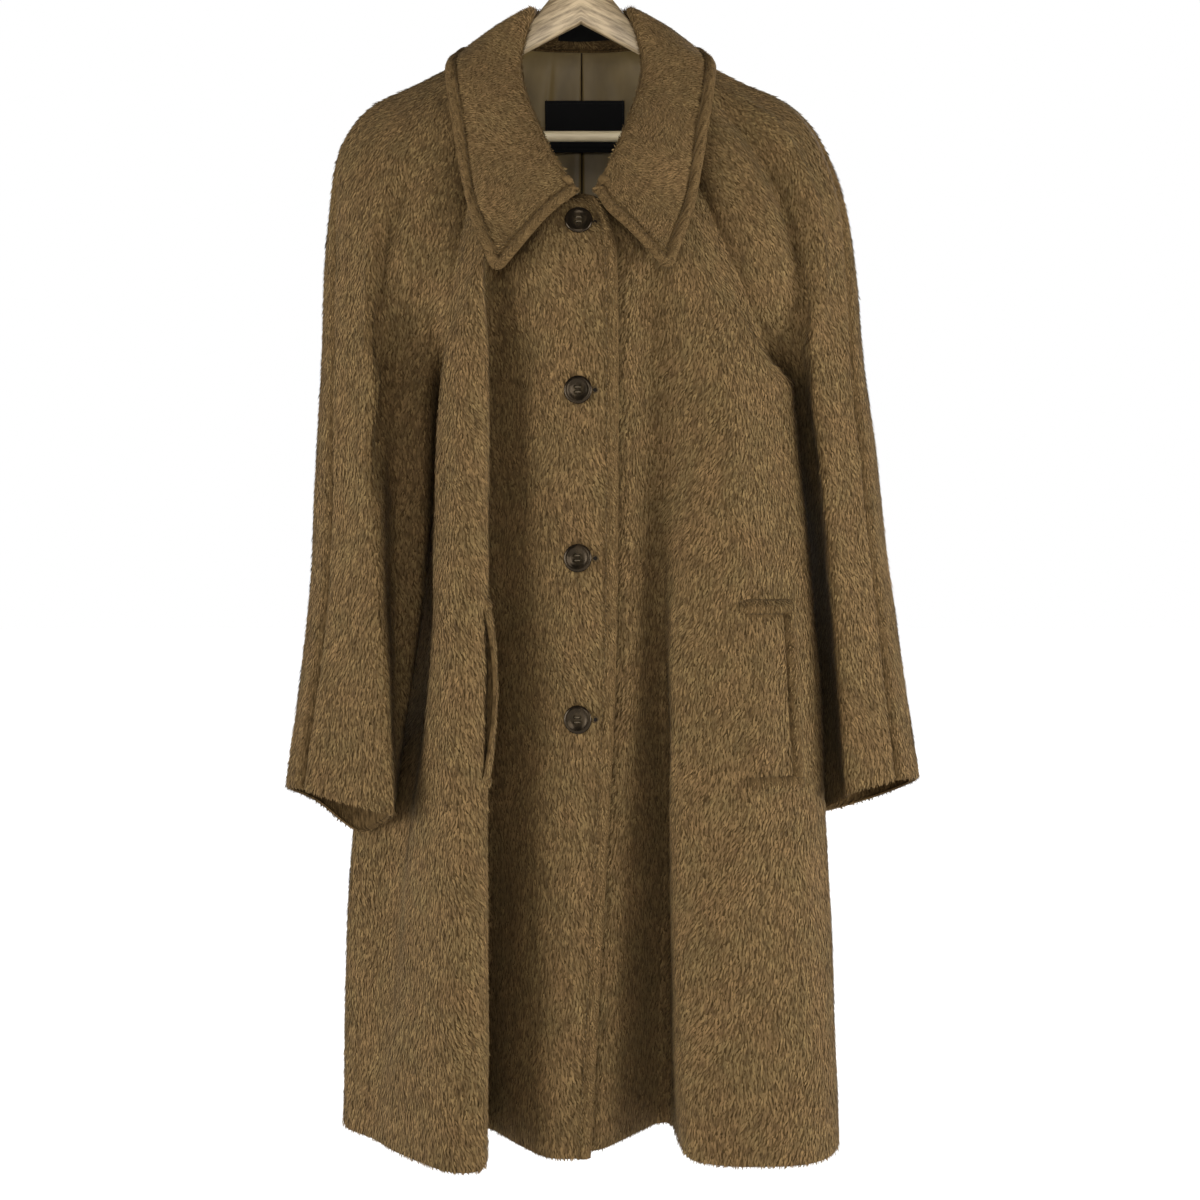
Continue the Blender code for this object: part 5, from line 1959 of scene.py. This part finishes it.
@dataclass
class Collar:
    """The turn-down collar: a stand, a roll and a fall with rounded points."""

    sections: int = 2
    fine: int = 6
    down_fine: int = 3
    edge_steps: int = 4
    end_shift: Pair = (4.0, 7.0)
    tip_shift: dict[Side, Point] = field(
        default_factory=lambda: {Side.RIGHT: (3.0, 0.0, -9.0), Side.LEFT: (9.0, 0.0, -6.0)})
    stand_back: float = 9.0
    roll: float = 4.5
    seam_gap: float = 0.7
    bulge: float = 6.0
    clear: float = 9.0
    search: float = 80.0
    middle: float = 0.5
    point_round: float = 15.0
    stitch_inset: float = 12.0
    steps: int = 2
    fall_from: int = 6
    stand_to: int = 5
    edge_columns: int = 3
    end_rows: int = 6
    end_ease: int = 4
    tip_ease: int = 8
    fold_share: float = 0.4

    def half(self, side: Side, tree: BVHTree) -> Grid:
        """Sections of one half, from the centre back to its front end.

        Args:
            side: The wearer's side.
            tree: The cloth that the fall rests on.

        Returns:
            Sections by points, each from the seam up the stand, round the roll and down the fall.
        """
        keys = np.arange(len(COLLAR), dtype=float)
        at = np.linspace(0, keys[-1], (len(COLLAR) - 1) * self.sections + 1)
        angles = through(keys, [[line.neck] for line in COLLAR], at)[:, 0]
        rolls = through(keys, [(line.roll, line.roll_y, line.roll_z) for line in COLLAR], at)
        edges = through(keys, [(line.edge, line.edge_y, line.edge_z) for line in COLLAR], at)
        edges += (at / keys[-1])[:, None] ** self.tip_ease * np.array(self.tip_shift[side])
        along_roll, along_edge = unit(np.gradient(rolls, axis=0)), unit(np.gradient(edges, axis=0))
        along_roll[0] = along_edge[0] = (1.0, 0.0, 0.0)
        mirror = np.array((side.value, 1.0, 1.0))
        half = []
        for angle, roll, edge, run, hang in zip(angles, rolls, edges, along_roll, along_edge):
            seam = np.array(NECK.point(1, angle))
            base = seam + self.seam_gap * unit(roll - seam)
            into = unit(unit(base - roll) + unit(edge - roll))
            apart = unit(np.cross(run, into))
            lift = unit(np.cross(run + hang, edge - roll))
            section = across([
                base, roll + self.roll * (into - apart), roll, roll + self.roll * (into + apart),
                roll + (edge - roll) * self.middle + lift * self.bulge, edge], (self.steps,) * 5) * mirror
            self.rest_on(section[self.fall_from:], lift * mirror, tree)
            half.append(section)
        shift = self.end_shift[0 if side is Side.RIGHT else 1]
        whole = np.array(half)
        share = np.linspace(0, 1, len(whole))[:, None]
        whole[:, :self.fall_from + 1, 0] += shift * share ** self.end_ease
        whole[:, :self.stand_to, 0] += side.value * self.stand_back * share ** self.tip_ease
        return whole

    def rest_on(self, points: Grid, direction: Grid, tree: BVHTree) -> None:
        """Lift points along a direction until they clear the cloth under them.

        Args:
            points: The points, moved in place.
            direction: Away from the cloth.
            tree: The cloth.
        """
        for point in points:
            start = tuple(point + direction * self.search)
            hit = tree.ray_cast(start, tuple(-direction), 2 * self.search)[0]
            if hit is not None:
                above = float(np.dot(point - np.array(hit), direction))
                point += direction * max(0.0, self.clear - above)

    def surface(self, tree: BVHTree) -> Cloth:
        """The collar's visible surface; rows run round the neck, columns from seam to edge.

        Args:
            tree: The cloth that the fall rests on.

        Returns:
            The surface.
        """
        coarse = np.concatenate((self.half(Side.RIGHT, tree)[:0:-1], self.half(Side.LEFT, tree)))
        grid = resampled(coarse, self.fine, self.down_fine)
        grid = refined(grid, 1, -self.edge_columns - 1, -1, self.edge_steps)
        for first, last in ((0, self.end_rows), (-self.end_rows - 1, -1)):
            grid = refined(grid, 0, first, last, self.edge_steps)
        made = Cloth("collar", grid, True, Edge.BRUSHED, *(Edge.STITCHED,) * 3, comb_axis=1, sway=85.0,
                     nap_length=0.65, nap_spacing=1.45, stitch_inset=self.stitch_inset, stitch_depth=1.9,
                     stitch_show=0.5, stitch_reach=2.0)
        self.round_points(made)
        made.normals = made.own_normals()
        return made

    def round_points(self, cloth: Cloth) -> None:
        """Round the collar's two points.

        Args:
            cloth: The collar, changed in place.
        """
        for end in (1, -1):
            grid = cloth.points[::end]
            down = cloth.down_lengths()[:, -1]
            from_end = (down if end == 1 else down[-1] - down[::-1])
            over = cloth.across_lengths()[::end]
            from_edge = over[:, -1:] - over
            p = np.clip(self.point_round - from_end[:, None], 0.0, None) * (from_edge < self.point_round)
            q = np.clip(self.point_round - from_edge, 0.0, None) * (from_end < self.point_round)[:, None]
            length = np.hypot(p, q)
            share = np.where(length > 0, np.maximum(p, q) / np.maximum(length, 1e-9), 1.0)
            along = unit(np.gradient(grid, axis=0))
            inward = -unit(np.gradient(grid, axis=1))
            grid += (p * (1 - share))[..., None] * along + (q * (1 - share))[..., None] * inward

    def sewing(self, cloth: Cloth) -> tuple[Grid, Grid]:
        """The row of stitches round the fall's edge.

        Args:
            cloth: The collar.

        Returns:
            Points and normals of the row.
        """
        points, facing = cloth.inset_column(self.stitch_inset, True)
        down = cloth.down_lengths()[:, -1]
        keep = np.flatnonzero((down > self.stitch_inset) & (down < down[-1] - self.stitch_inset))
        over = cloth.across_lengths()
        path, normals = [points[keep]], [facing[keep]]
        for row, before in ((keep[0], True), (keep[-1], False)):
            fall = over[row] > self.fold_share * over[row, -1]
            fall &= over[row] < over[row, -1] - self.stitch_inset - 1
            columns = np.flatnonzero(fall)[:: 1 if before else -1]
            place = 0 if before else len(path)
            path.insert(place, cloth.points[row, columns])
            normals.insert(place, cloth.normals[row, columns])
        return np.concatenate(path), np.concatenate(normals)


@dataclass
class Welt:
    """A pocket welt laid on a front, sewn down at both ends."""

    node: str
    front: Front
    first: tuple[str, int]
    last: tuple[str, int]
    wall: float = 3.4
    gap: float = 0.3
    fine: int = 6
    mouth: float = 4.0
    mouth_reach: float = 14.0
    bar: float = 9.5
    sink: float = 0.0
    root: float = 0.4
    swell_ease: float = 0.8
    sink_ease: float = 0.4
    end_inset: float = 2.5
    first_stitch: int = 8
    last_stitch: int = -3

    def surface(self, cloth: Cloth) -> Cloth:
        """The front's own surface under the welt, in finer steps.

        Args:
            cloth: The front's surface.

        Returns:
            The welt's surface.
        """
        rows = LEVELS.body_rows
        ends = (LEVELS.welt_top_z, LEVELS.welt_bottom_z)
        top, bottom = (closest(rows, LEVELS.down(z)) for z in ends)
        first, last = (self.front.line_column(name) + more for name, more in (self.first, self.last))
        block = resampled(cloth.points[top:bottom + 1, first:last + 1], self.fine, self.fine)
        made = Cloth(self.node, block, cloth.mirrored, Edge.BRUSHED, *(Edge.STITCHED,) * 3, lean=cloth.lean,
                     edge_crop=0.3, band_crop=0.0, crop_reach=3.0, wave_height=0.0, fold_drop=1.2,
                     seam_reach=8.0, puff=3.6, brushed_depth=self.wall + self.gap + self.root,
                     stitch_inset=self.bar, stitch_depth=3.2, stitch_show=0.9)
        over, down = made.across_lengths(), made.down_lengths()
        gape = np.clip(1 - (over[:, -1:] - over) / self.mouth_reach, 0.0, 1.0) ** 2
        inside = np.clip((down - self.bar) / (down[-1:] - 2 * self.bar), 0.0, 1.0)
        swell = np.sin(pi * inside)
        rise = self.mouth * gape * swell ** self.swell_ease
        rise = rise - self.sink * (1 - swell ** self.sink_ease)
        made.points = made.points + made.normals * rise[..., None]
        made.normals = made.own_normals()
        return made

    def sew_on(self, cloth: Cloth, tailor: Tailor) -> None:
        """Make the welt on a front's cloth, with a stitched bar at each end.

        Args:
            cloth: The front's surface.
            tailor: Makes and fixes the pieces.
        """
        made = self.surface(cloth)
        made.shape()
        down = made.down_lengths().mean(axis=1)
        levels = [closest(down, at) for at in (
            self.end_inset, self.bar, down[-1] - self.bar, down[-1] - self.end_inset)]
        columns = slice(self.first_stitch, self.last_stitch)
        sewing = [(made.points[row, columns], made.normals[row, columns]) for row in levels]
        tailor.sheet(made, self.node, self.wall, self.gap, sewing)


@dataclass
class NeckInside:
    """What shows in the back neck: the lining, a bare label and the hang loop."""

    lining_length: float = 155.0
    top_rise: float = -1.5
    behind: float = 3.6
    wall: float = 1.0
    gap: float = 0.6
    label_size: Pair = (79.0, 48.0)
    label_centre: Pair = (3.0, -187.0)
    label_gap: float = 2.0
    loop_size: Pair = (52.0, 16.0)
    loop_centre: Pair = (3.0, -97.0)
    loop_bow: float = 2.0
    stand_columns: int = 8
    stand_reach: int = 30
    edge_inset: float = 1.6
    column_steps: int = 4
    patch_step: float = 3.0
    pleat: tuple[Crease, ...] = (
        Crease("pleat_fold", 0.5, -60, 0.5, 260, 1.3, -2.2),
        Crease("pleat_lay", 0.47, 10, 0.47, 260, 7.0, 1.1),
        Crease("yoke_fold", 0.15, 15, 0.49, 13, 2.5, -0.9),
        Crease("yoke_fold_left", 0.52, 12, 0.85, 17, 2.5, -0.7),
        Crease("drape_left", 0.66, 20, 0.72, 190, 12.0, 2.2),
        Crease("drape_right", 0.36, 24, 0.27, 190, 10.0, -2.2),
        Crease("tuck_right", 0.27, 8, 0.29, 60, 4.0, 1.5),
    )

    def lining(self, back: Cloth, steps: int) -> Cloth:
        """The lining's surface, inside the back's cloth.

        Args:
            back: The back's surface.
            steps: Columns of each stretch of the back; the first and last stretch are left out.

        Returns:
            The lining, which faces forwards.
        """
        last = closest(LEVELS.upper_rows, self.lining_length)
        block = (slice(0, last + 1), slice(steps, -steps))
        inside = back.points[block] - back.normals[block] * self.behind
        inside[0, :, 2] += self.top_rise
        return Cloth("lining_cloth", resampled(inside, 1, self.column_steps), True, *(Edge.SEAM,) * 4,
                     self.pleat, wave_height=0.5, seam_depth=0.5)

    def patch(self, name: str, under: Cloth, centre: Pair, size: Pair) -> Cloth:
        """An upright patch of tape on a cloth that faces forwards.

        Args:
            name: The patch's name.
            under: The cloth it is sewn on.
            centre: Its middle in x and z.
            size: Its width and height.

        Returns:
            Its surface.
        """
        tree = cloth_tree([under])
        (x, z), (width, height) = centre, size
        rows, columns = (int(length // self.patch_step) + 1 for length in (height, width))
        over = np.linspace(x - width / 2, x + width / 2, columns)
        down = np.linspace(z + height / 2, z - height / 2, rows)
        grid = np.array([[tuple(from_front(tree, at, level)) for at in over] for level in down])
        return Cloth(name, grid, True, *(Edge.SEAM,) * 4)

    def frame_rows(self, cloth: Cloth, sides_only: bool) -> list[tuple[Grid, Grid]]:
        """Rows of stitches just inside a patch's edges.

        Args:
            cloth: The patch.
            sides_only: Whether top and bottom are loose.

        Returns:
            Points and normals of each row.
        """
        rows = [cloth.inset_column(self.edge_inset, last) for last in (False, True)]
        if not sides_only:
            rows += [(cloth.points[k, 1:-1], cloth.normals[k, 1:-1]) for k in (1, -2)]
        return [(points + facing * (self.gap + self.wall), facing) for points, facing in rows]

    def build(self, back: Cloth, steps: int, collar: Cloth, tailor: Tailor) -> None:
        """Make the lining, the label and the loop.

        Args:
            back: The back's surface.
            steps: Columns of each stretch of the back.
            collar: The collar's surface.
            tailor: Makes and fixes the pieces.
        """
        satin, tape = Satin().make(), BlackTape().make()
        lining = self.lining(back, steps)
        lining.shape()
        piece = tailor.place(shell(lining, self.wall, 0.0, satin), "lining_satin", "lining")
        tailor.declare(piece, lining)
        label = self.patch("label", lining, self.label_centre, self.label_size)
        middle = len(collar.points) // 2
        near = slice(middle - self.stand_reach, middle + self.stand_reach + 1)
        stand = Cloth("stand", collar.points[near, :self.stand_columns], True, *(Edge.SEAM,) * 4)
        loop = self.patch("hang_loop", stand, self.loop_centre, self.loop_size)
        bow = self.loop_bow * np.sin(pi * np.linspace(0, 1, loop.points.shape[1]))
        loop.points = loop.points + loop.normals * bow[None, :, None]
        label.points[..., 1] = label.points[..., 1].min(axis=1, keepdims=True) - self.label_gap
        for cloth, sides_only in ((label, False), (loop, True)):
            node = cloth.name
            sewing = tailor.black_stitches.sew(f"{node}_stitches", self.frame_rows(cloth, sides_only))
            cloth.name = f"{node}_tape"
            piece = tailor.place(shell(cloth, self.wall, self.gap, tape), "black_tape", node)
            tailor.declare(piece, cloth, [tailor.place(sewing, "black_tape")])


@dataclass
class Buttons:
    """Four-hole horn buttons down the right front, with their thread and keyhole buttonholes."""

    x: float = -1.0
    heights: tuple[float, ...] = (-317.5, -471.0, -621.0, -764.0)
    sides: int = 48
    lift: float = 0.6
    hole: float = 1.5
    hole_out: float = 2.2
    thread: float = 0.55
    eye_out: float = 15.0
    eye: float = 2.5
    slit: float = 1.0
    cord: float = 0.85
    cord_lift: float = 0.5
    cord_sides: int = 6
    eye_turn: int = 155
    eye_step: int = 31
    eye_fill: float = 0.9
    eye_lift: float = 0.9
    eye_sides: int = 12
    slit_start: float = -4.0
    drill_heights: tuple[float, ...] = (-2.0, 2.0, 8.0)
    drill_sides: int = 12
    sharp_angle: float = 45.0
    seat_reach: float = 12.0
    profile: tuple[Pair, ...] = (
        (0.0, 0.3), (10.0, 0.3), (11.6, 0.8), (12.4, 1.6), (12.7, 2.4), (12.6, 3.2), (12.1, 3.9),
        (11.3, 4.3), (10.2, 4.5), (9.1, 4.4), (8.1, 4.1), (7.0, 3.8), (5.6, 3.5), (0.0, 3.4))
    thread_line: tuple[Pair, ...] = (
        (-1.0, 1.0), (-1.0, 3.5), (-0.5, 4.1), (0.5, 4.1), (1.0, 3.5), (1.0, 1.0))

    def turned(self) -> Solid:
        """Points and faces of the plain button on its own axis.

        Returns:
            The points and faces, in millimetres.
        """
        turns = 2 * pi * np.arange(self.sides) / self.sides
        points = [(0.0, 0.0, self.profile[0][1])]
        points += [(r * cos(t), r * sin(t), h) for r, h in self.profile[1:-1] for t in turns]
        points.append((0.0, 0.0, self.profile[-1][1]))
        rings, n = len(self.profile) - 2, self.sides
        faces: list = [(0, 1 + (k + 1) % n, 1 + k) for k in range(n)]
        for ring in range(rings - 1):
            faces += band(1 + ring * n, 1 + (ring + 1) * n, n)
        top = 1 + (rings - 1) * n
        faces += [(len(points) - 1, top + k, top + (k + 1) % n) for k in range(n)]
        return points, faces

    def hole_places(self) -> list[Pair]:
        """Middles of the four holes."""
        return [(self.hole_out * a, self.hole_out * b) for a, b in ((-1, -1), (1, -1), (1, 1), (-1, 1))]

    def drilled(self, horn: Material) -> bpy.types.Mesh:
        """A button with its four holes cut, on its own axis.

        Args:
            horn: Its finish.

        Returns:
            The mesh, in metres.
        """
        blank = new_object("button_blank", *self.turned(), horn)
        holes: Solid = ([], [])
        for x, y in self.hole_places():
            path = [(x, y, height) for height in self.drill_heights]
            self.join(holes, *tube(path, self.hole, self.drill_sides))
        drill = new_object("button_drill", *holes, horn)
        cut = blank.modifiers.new("holes", "BOOLEAN")
        cut.object, cut.operation, cut.solver = drill, "DIFFERENCE", "EXACT"
        mesh = evaluated(blank)
        for used in (blank, drill):
            bpy.data.objects.remove(used)
        mesh.shade_smooth()
        mesh.set_sharp_from_angle(angle=radians(self.sharp_angle))
        widest = max(radius for radius, _ in self.profile) * MM
        out = mesh.attributes.new("out", "FLOAT", "POINT")
        out.data.foreach_set("value", [v.co.xy.length / widest for v in mesh.vertices])
        return mesh

    def seat(self, cloth: Cloth, tree: BVHTree, z: float) -> Matrix:
        """Where a button sits, as a transform from its own axis, in metres.

        Args:
            cloth: The front's surface.
            tree: The front as a search tree.
            z: The button's height.

        Returns:
            The transform.
        """
        spot = np.array(from_front(tree, self.x, z))
        near = np.linalg.norm(cloth.points - spot, axis=-1) < self.seat_reach
        axis = unit(cloth.normals[near].sum(axis=0))
        level = unit(np.cross((0.0, 0.0, 1.0), axis))
        spot = spot + axis * self.lift
        turn = np.stack((level, np.cross(axis, level), axis), axis=1)
        return Matrix.Translation(Vector(spot * MM)) @ Matrix(turn.tolist()).to_4x4()

    def thread_paths(self) -> list[list[Point]]:
        """The two bars of thread over a button."""
        return [[(share * self.hole_out, y, height) for share, height in self.thread_line]
                for y in (-self.hole_out, self.hole_out)]

    def hole_path(self) -> list[Pair]:
        """The outline of a buttonhole beside a button: a slit that ends in a round eye.

        Returns:
            Places beside the button's middle.
        """
        join = self.eye_out - self.eye
        turns = [radians(a) for a in range(self.eye_turn, -self.eye_turn - 1, -self.eye_step)]
        eye = [(self.eye_out + self.eye * cos(t), self.eye * sin(t)) for t in turns]
        start = [(x, self.slit) for x in (self.slit_start, join * 0.5)]
        return start + eye + [(x, -y) for x, y in start[::-1]]

    def eye_shade_path(self) -> list[Pair]:
        """The outline of the near-black disc inside a buttonhole's cord, painted as the shade in its hole.
        """
        radius = self.eye_fill * self.eye
        turns = 2 * pi * np.arange(self.eye_sides) / self.eye_sides
        return [(self.eye_out + radius * cos(t), radius * sin(t)) for t in turns]

    def build(self, cloth: Cloth, tailor: Tailor) -> None:
        """Make the buttons, their thread and the buttonholes on the front's cloth.

        Args:
            cloth: The front's surface.
            tailor: Makes and fixes the pieces.
        """
        tree = cloth_tree([cloth])
        drilled = self.drilled(Horn().make())
        threads: Solid = ([], [])
        cords: Solid = ([], [])
        eye_shades: Solid = ([], [])
        for number, z in enumerate(self.heights, 1):
            seat = self.seat(cloth, tree, z)
            mesh = drilled.copy()
            mesh.name = f"button_{number}_horn"
            mesh.transform(seat)
            tailor.place(linked(mesh.name, mesh), "dark_horn", f"button_{number}")
            for path in self.thread_paths():
                placed = [tuple(seat @ (Vector(p) * MM) / MM) for p in path]
                self.join(threads, *tube(placed, self.thread, self.cord_sides))
            cord = self.on_cloth(self.hole_path(), z, tree, self.cord_lift)
            self.join(cords, *tube(cord, self.cord, self.cord_sides, True))
            # Painted shade: a near-black disc laid in each buttonhole's eye for the shade in the hole.
            eye = self.on_cloth(self.eye_shade_path(), z, tree, self.eye_lift)
            self.join(eye_shades, eye, [tuple(range(self.eye_sides))])
        for name, made, thread in (("button_threads", threads, BUTTON_THREAD),
                                   ("buttonholes", cords, WOOL_THREAD), ("buttonhole_eyes", eye_shades, EYE_SHADE)):
            tailor.place(new_object(name, *made, thread.make()), "brushed_wool")

    @staticmethod
    def join(whole: Solid, points: Any, faces: list) -> None:
        """Add points and faces to a joined mesh."""
        whole[1].extend(tuple(v + len(whole[0]) for v in face) for face in faces)
        whole[0].extend(np.asarray(points).tolist())

    def on_cloth(self, outline: Sequence[Pair], z: float, tree: BVHTree, lift: float) -> Grid:
        """An outline beside a button, laid on the cloth."""
        hits = [tuple(from_front(tree, self.x + x, z + y)) for x, y in outline]
        return np.array(hits) + np.array((0.0, -lift, 0.0))


@dataclass
class Hanger:
    """Wooden arms with a trouser bar, and a wire hook whose inner crown is the origin."""

    crest_out: float = 126.0
    crest_z: float = -144.0
    crest_slope: float = 0.54
    under_cloth: float = 8.0
    half_thick: float = 5.0
    apex_z: float = -105.0
    under_slope: float = 0.525
    top_z: float = -60.0
    end: float = 200.0
    end_round: float = 4.0
    hump: float = 80.0
    lug_inner: float = 188.0
    lug_step: float = 0.2
    lug_bottom_z: float = -221.0
    sides: int = 28
    station: float = 6.0
    end_steps: int = 5
    sharp_angle: float = 40.0
    bar_radius: float = 5.0
    bar_z: float = -213.0
    bar_steps: int = 13
    bar_sides: int = 24
    hook_inner: float = 22.0
    hook_steps: int = 60
    wire: float = 2.0
    wire_sides: int = 16
    hook_from: float = -55.0
    hook_to: float = 205.0
    stem_rise: float = 6.0
    stem_lean: float = 4.0
    stem_steps: int = 16

    def section(self, out: float) -> Pair:
        """Top and bottom height of the wood at a distance from the middle.

        Args:
            out: The distance.

        Returns:
            Top and bottom.
        """
        top = self.crest_z - (max(out, self.hump) - self.crest_out) * self.crest_slope - self.under_cloth
        rise = max(0.0, 1 - out / self.hump)
        top += (self.top_z - top) * rise * rise * (3 - 2 * rise)
        bottom = self.lug_bottom_z if out > self.lug_inner else self.apex_z - self.under_slope * out
        return top, bottom

    def arms(self) -> Solid:
        """Points and faces of the arms: a rounded section carried from end to end.

        Returns:
            The points and faces, in millimetres.
        """
        half = list(np.arange(0.0, self.lug_inner, self.station))
        half += [self.lug_inner, self.lug_inner + self.lug_step]
        round_end = [(self.end - self.end_round * (1 - sin(t)), self.end_round * (1 - cos(t)))
                     for t in np.linspace(0, pi / 2, self.end_steps)]
        stations = [(out, 0.0) for out in half] + round_end
        stations = [(-out, inset) for out, inset in stations[:0:-1]] + stations
        points: list = []
        for out, inset in stations:
            top, bottom = self.section(abs(out))
            thick = self.half_thick - inset / 2
            for k in range(self.sides):
                turn = 2 * pi * (k + 0.5) / self.sides
                centre = top - inset - thick if sin(turn) > 0 else bottom + inset + thick
                points.append((out, thick * cos(turn), centre + thick * sin(turn)))
        n, last = self.sides, (len(stations) - 1) * self.sides
        faces: list = [tuple(range(n - 1, -1, -1)), tuple(last + k for k in range(n))]
        for low in range(0, last, n):
            faces += band(low, low + n, n)
        return points, faces

    def build(self, tailor: Tailor) -> None:
        """Make the arms, the bar and the hook.

        Args:
            tailor: Makes and fixes the pieces.
        """
        arms = new_object("hanger_arms_wood", *self.arms(), Oak().make())
        arms.data.set_sharp_from_angle(angle=radians(self.sharp_angle))
        tailor.place(arms, "oak", "hanger_arms")
        ends = (-self.lug_inner, self.lug_inner)
        bar = tube([(x, 0.0, self.bar_z) for x in np.linspace(*ends, self.bar_steps)],
                   self.bar_radius, self.bar_sides)
        tailor.place(new_object("hanger_bar_wood", *bar, BAR_WOOD.make()), "oak", "hanger_bar")
        ring = self.hook_inner + self.wire
        turns = np.radians(np.linspace(self.hook_from, self.hook_to, self.hook_steps))
        arc = [(ring * cos(t), 0.0, -self.hook_inner + ring * sin(t)) for t in turns]
        foot = self.top_z
        stem = through((0, 1, 2, 3), [(0, 0, foot), (0, 0, foot + self.stem_rise),
                                      (self.stem_lean, 0, foot + 2 * self.stem_rise), arc[0]],
                       np.linspace(0, 3, self.stem_steps))[:-1]
        wire = tube(np.concatenate((stem, arc)), self.wire, self.wire_sides)
        tailor.place(new_object("hanger_hook_wire", *wire, SteelWire().make()), "steel_wire", "hanger_hook")


class Lamp(NamedTuple):
    """A square soft light: its name, its place and width in metres, and its power in watts."""

    name: str
    place: Point
    size: float
    power: float


@dataclass
class Studio:
    """A pale floor, soft light and a camera at the photograph's angle."""

    camera_place: Point = (0.0182, -1.440, -0.658)
    lens: float = 45.0
    floor_z: float = -1.275
    floor_size: float = 60.0
    floor_fade: Pair = (1.3, 5.5)
    floor_greys: Pair = (0.86, 0.9)
    floor_glow: Pair = (0.45, 0.95)
    ambient: float = 0.13
    aim: Point = (0.0, 0.0, -0.6)
    lamps: tuple[Lamp, ...] = (
        Lamp("left", (-2.6, -1.25, -0.32), 1.5, 87.0),
        Lamp("right", (2.6, -1.1, -0.32), 1.5, 105.0),
        Lamp("front", (0.0, -3.2, 0.1), 1.2, 29.0),
        Lamp("back", (1.4, 3.4, 2.0), 1.2, 100.0),
    )

    def build(self) -> None:
        """Make the floor, the lights, the backdrop's colour and the camera."""
        self.floor()
        for lamp in self.lamps:
            self.light(lamp)
        world = bpy.data.worlds.new("studio")
        world.use_nodes = True
        graph = NodeGraph(world.node_tree)
        seen = graph.node("ShaderNodeLightPath").out("Is Camera Ray")
        background = world.node_tree.nodes["Background"]
        background.inputs["Color"].default_value = (1.0, 1.0, 1.0, 1.0)
        graph.feed(background.inputs["Strength"], self.ambient + seen * (1.0 - self.ambient))
        bpy.context.scene.world = world
        bpy.context.scene.view_settings.view_transform = "Standard"
        camera = bpy.data.cameras.new("camera")
        camera.lens = self.lens
        made = linked("camera", camera)
        made.location = self.camera_place
        made.rotation_euler = (pi / 2, 0.0, 0.0)
        bpy.context.scene.camera = made

    def floor(self) -> None:
        """A pale floor under the hanging coat."""
        shader = Shader("pale_floor")
        place = shader.object_place()
        away = shader.node("ShaderNodeVectorMath", {"operation": "LENGTH"}, {0: place}).out("Value")
        near, beyond = self.floor_fade
        far = shader.node("ShaderNodeMapRange", {"interpolation_type": "SMOOTHSTEP"}, {
            0: away, 1: near, 2: beyond})
        grain = shader.noise(place, scale=9.0)
        greys, glow = ([(tone,) * 3 for tone in pair] for pair in (self.floor_greys, self.floor_glow))
        shader.set(Base_Color=shader.mix(grain, *greys), Roughness=0.9,
                   Emission_Color=shader.mix(far, *glow), Emission_Strength=1.0)
        half = self.floor_size / 2 / MM
        z = self.floor_z / MM
        corners = [(-half, -half, z), (half, -half, z), (half, half, z), (-half, half, z)]
        new_object("floor", corners, [(0, 1, 2, 3)], shader.material)

    def light(self, lamp: Lamp) -> None:
        """Stand a lamp so that it faces the coat's middle.

        Args:
            lamp: The lamp.
        """
        light = bpy.data.lights.new(lamp.name, "AREA")
        light.size = lamp.size
        light.energy = lamp.power
        made = linked(lamp.name, light)
        made.location = lamp.place
        aim = Vector(self.aim) - made.location
        made.rotation_euler = aim.to_track_quat("-Z", "Y").to_euler()


def main() -> None:
    """Build the coat and its hanger."""
    logging.basicConfig(level=logging.INFO, format="%(name)s %(message)s")
    Studio().build()
    tailor = Tailor()
    right = Front(Side.RIGHT, FRONT_RIGHT, FRONT_RIGHT_CREASES)
    left = Front(Side.LEFT, FRONT_LEFT, FRONT_LEFT_CREASES)
    back = Back(BACK_CREASES)
    panels = [right.surface(), left.surface(), back.surface()]
    for side in Side:
        panels += Sleeve(side, SLEEVE_FRONT_CREASES[side], SLEEVE_BACK_CREASES[side]).surfaces()
    join_normals(panels, facing=-0.3)
    for cloth in panels:
        cloth.shape()
    join_normals(panels)
    collar = Collar()
    fall = collar.surface(cloth_tree(panels))
    fall.shape()
    for cloth in panels:
        sewing = [cloth.inset_column(cloth.stitch_inset, False)] if cloth.first is Edge.STITCHED else ()
        tailor.sheet(cloth, cloth.name, sewing=sewing)
    tailor.sheet(fall, "collar", sewing=[collar.sewing(fall)])
    Welt("welt_left", left, ("welt_inner", 0), ("welt_outer", 0)).sew_on(panels[1], tailor)
    Welt("welt_right", right, ("fold_edge", -4), ("fold_edge", 0),
         wall=2.6, mouth=8.0, sink=2.6).sew_on(panels[0], tailor)
    NeckInside().build(panels[2], back.steps, fall, tailor)
    Buttons().build(panels[0], tailor)
    Hanger().build(tailor)


if __name__ == "__main__":
    main()
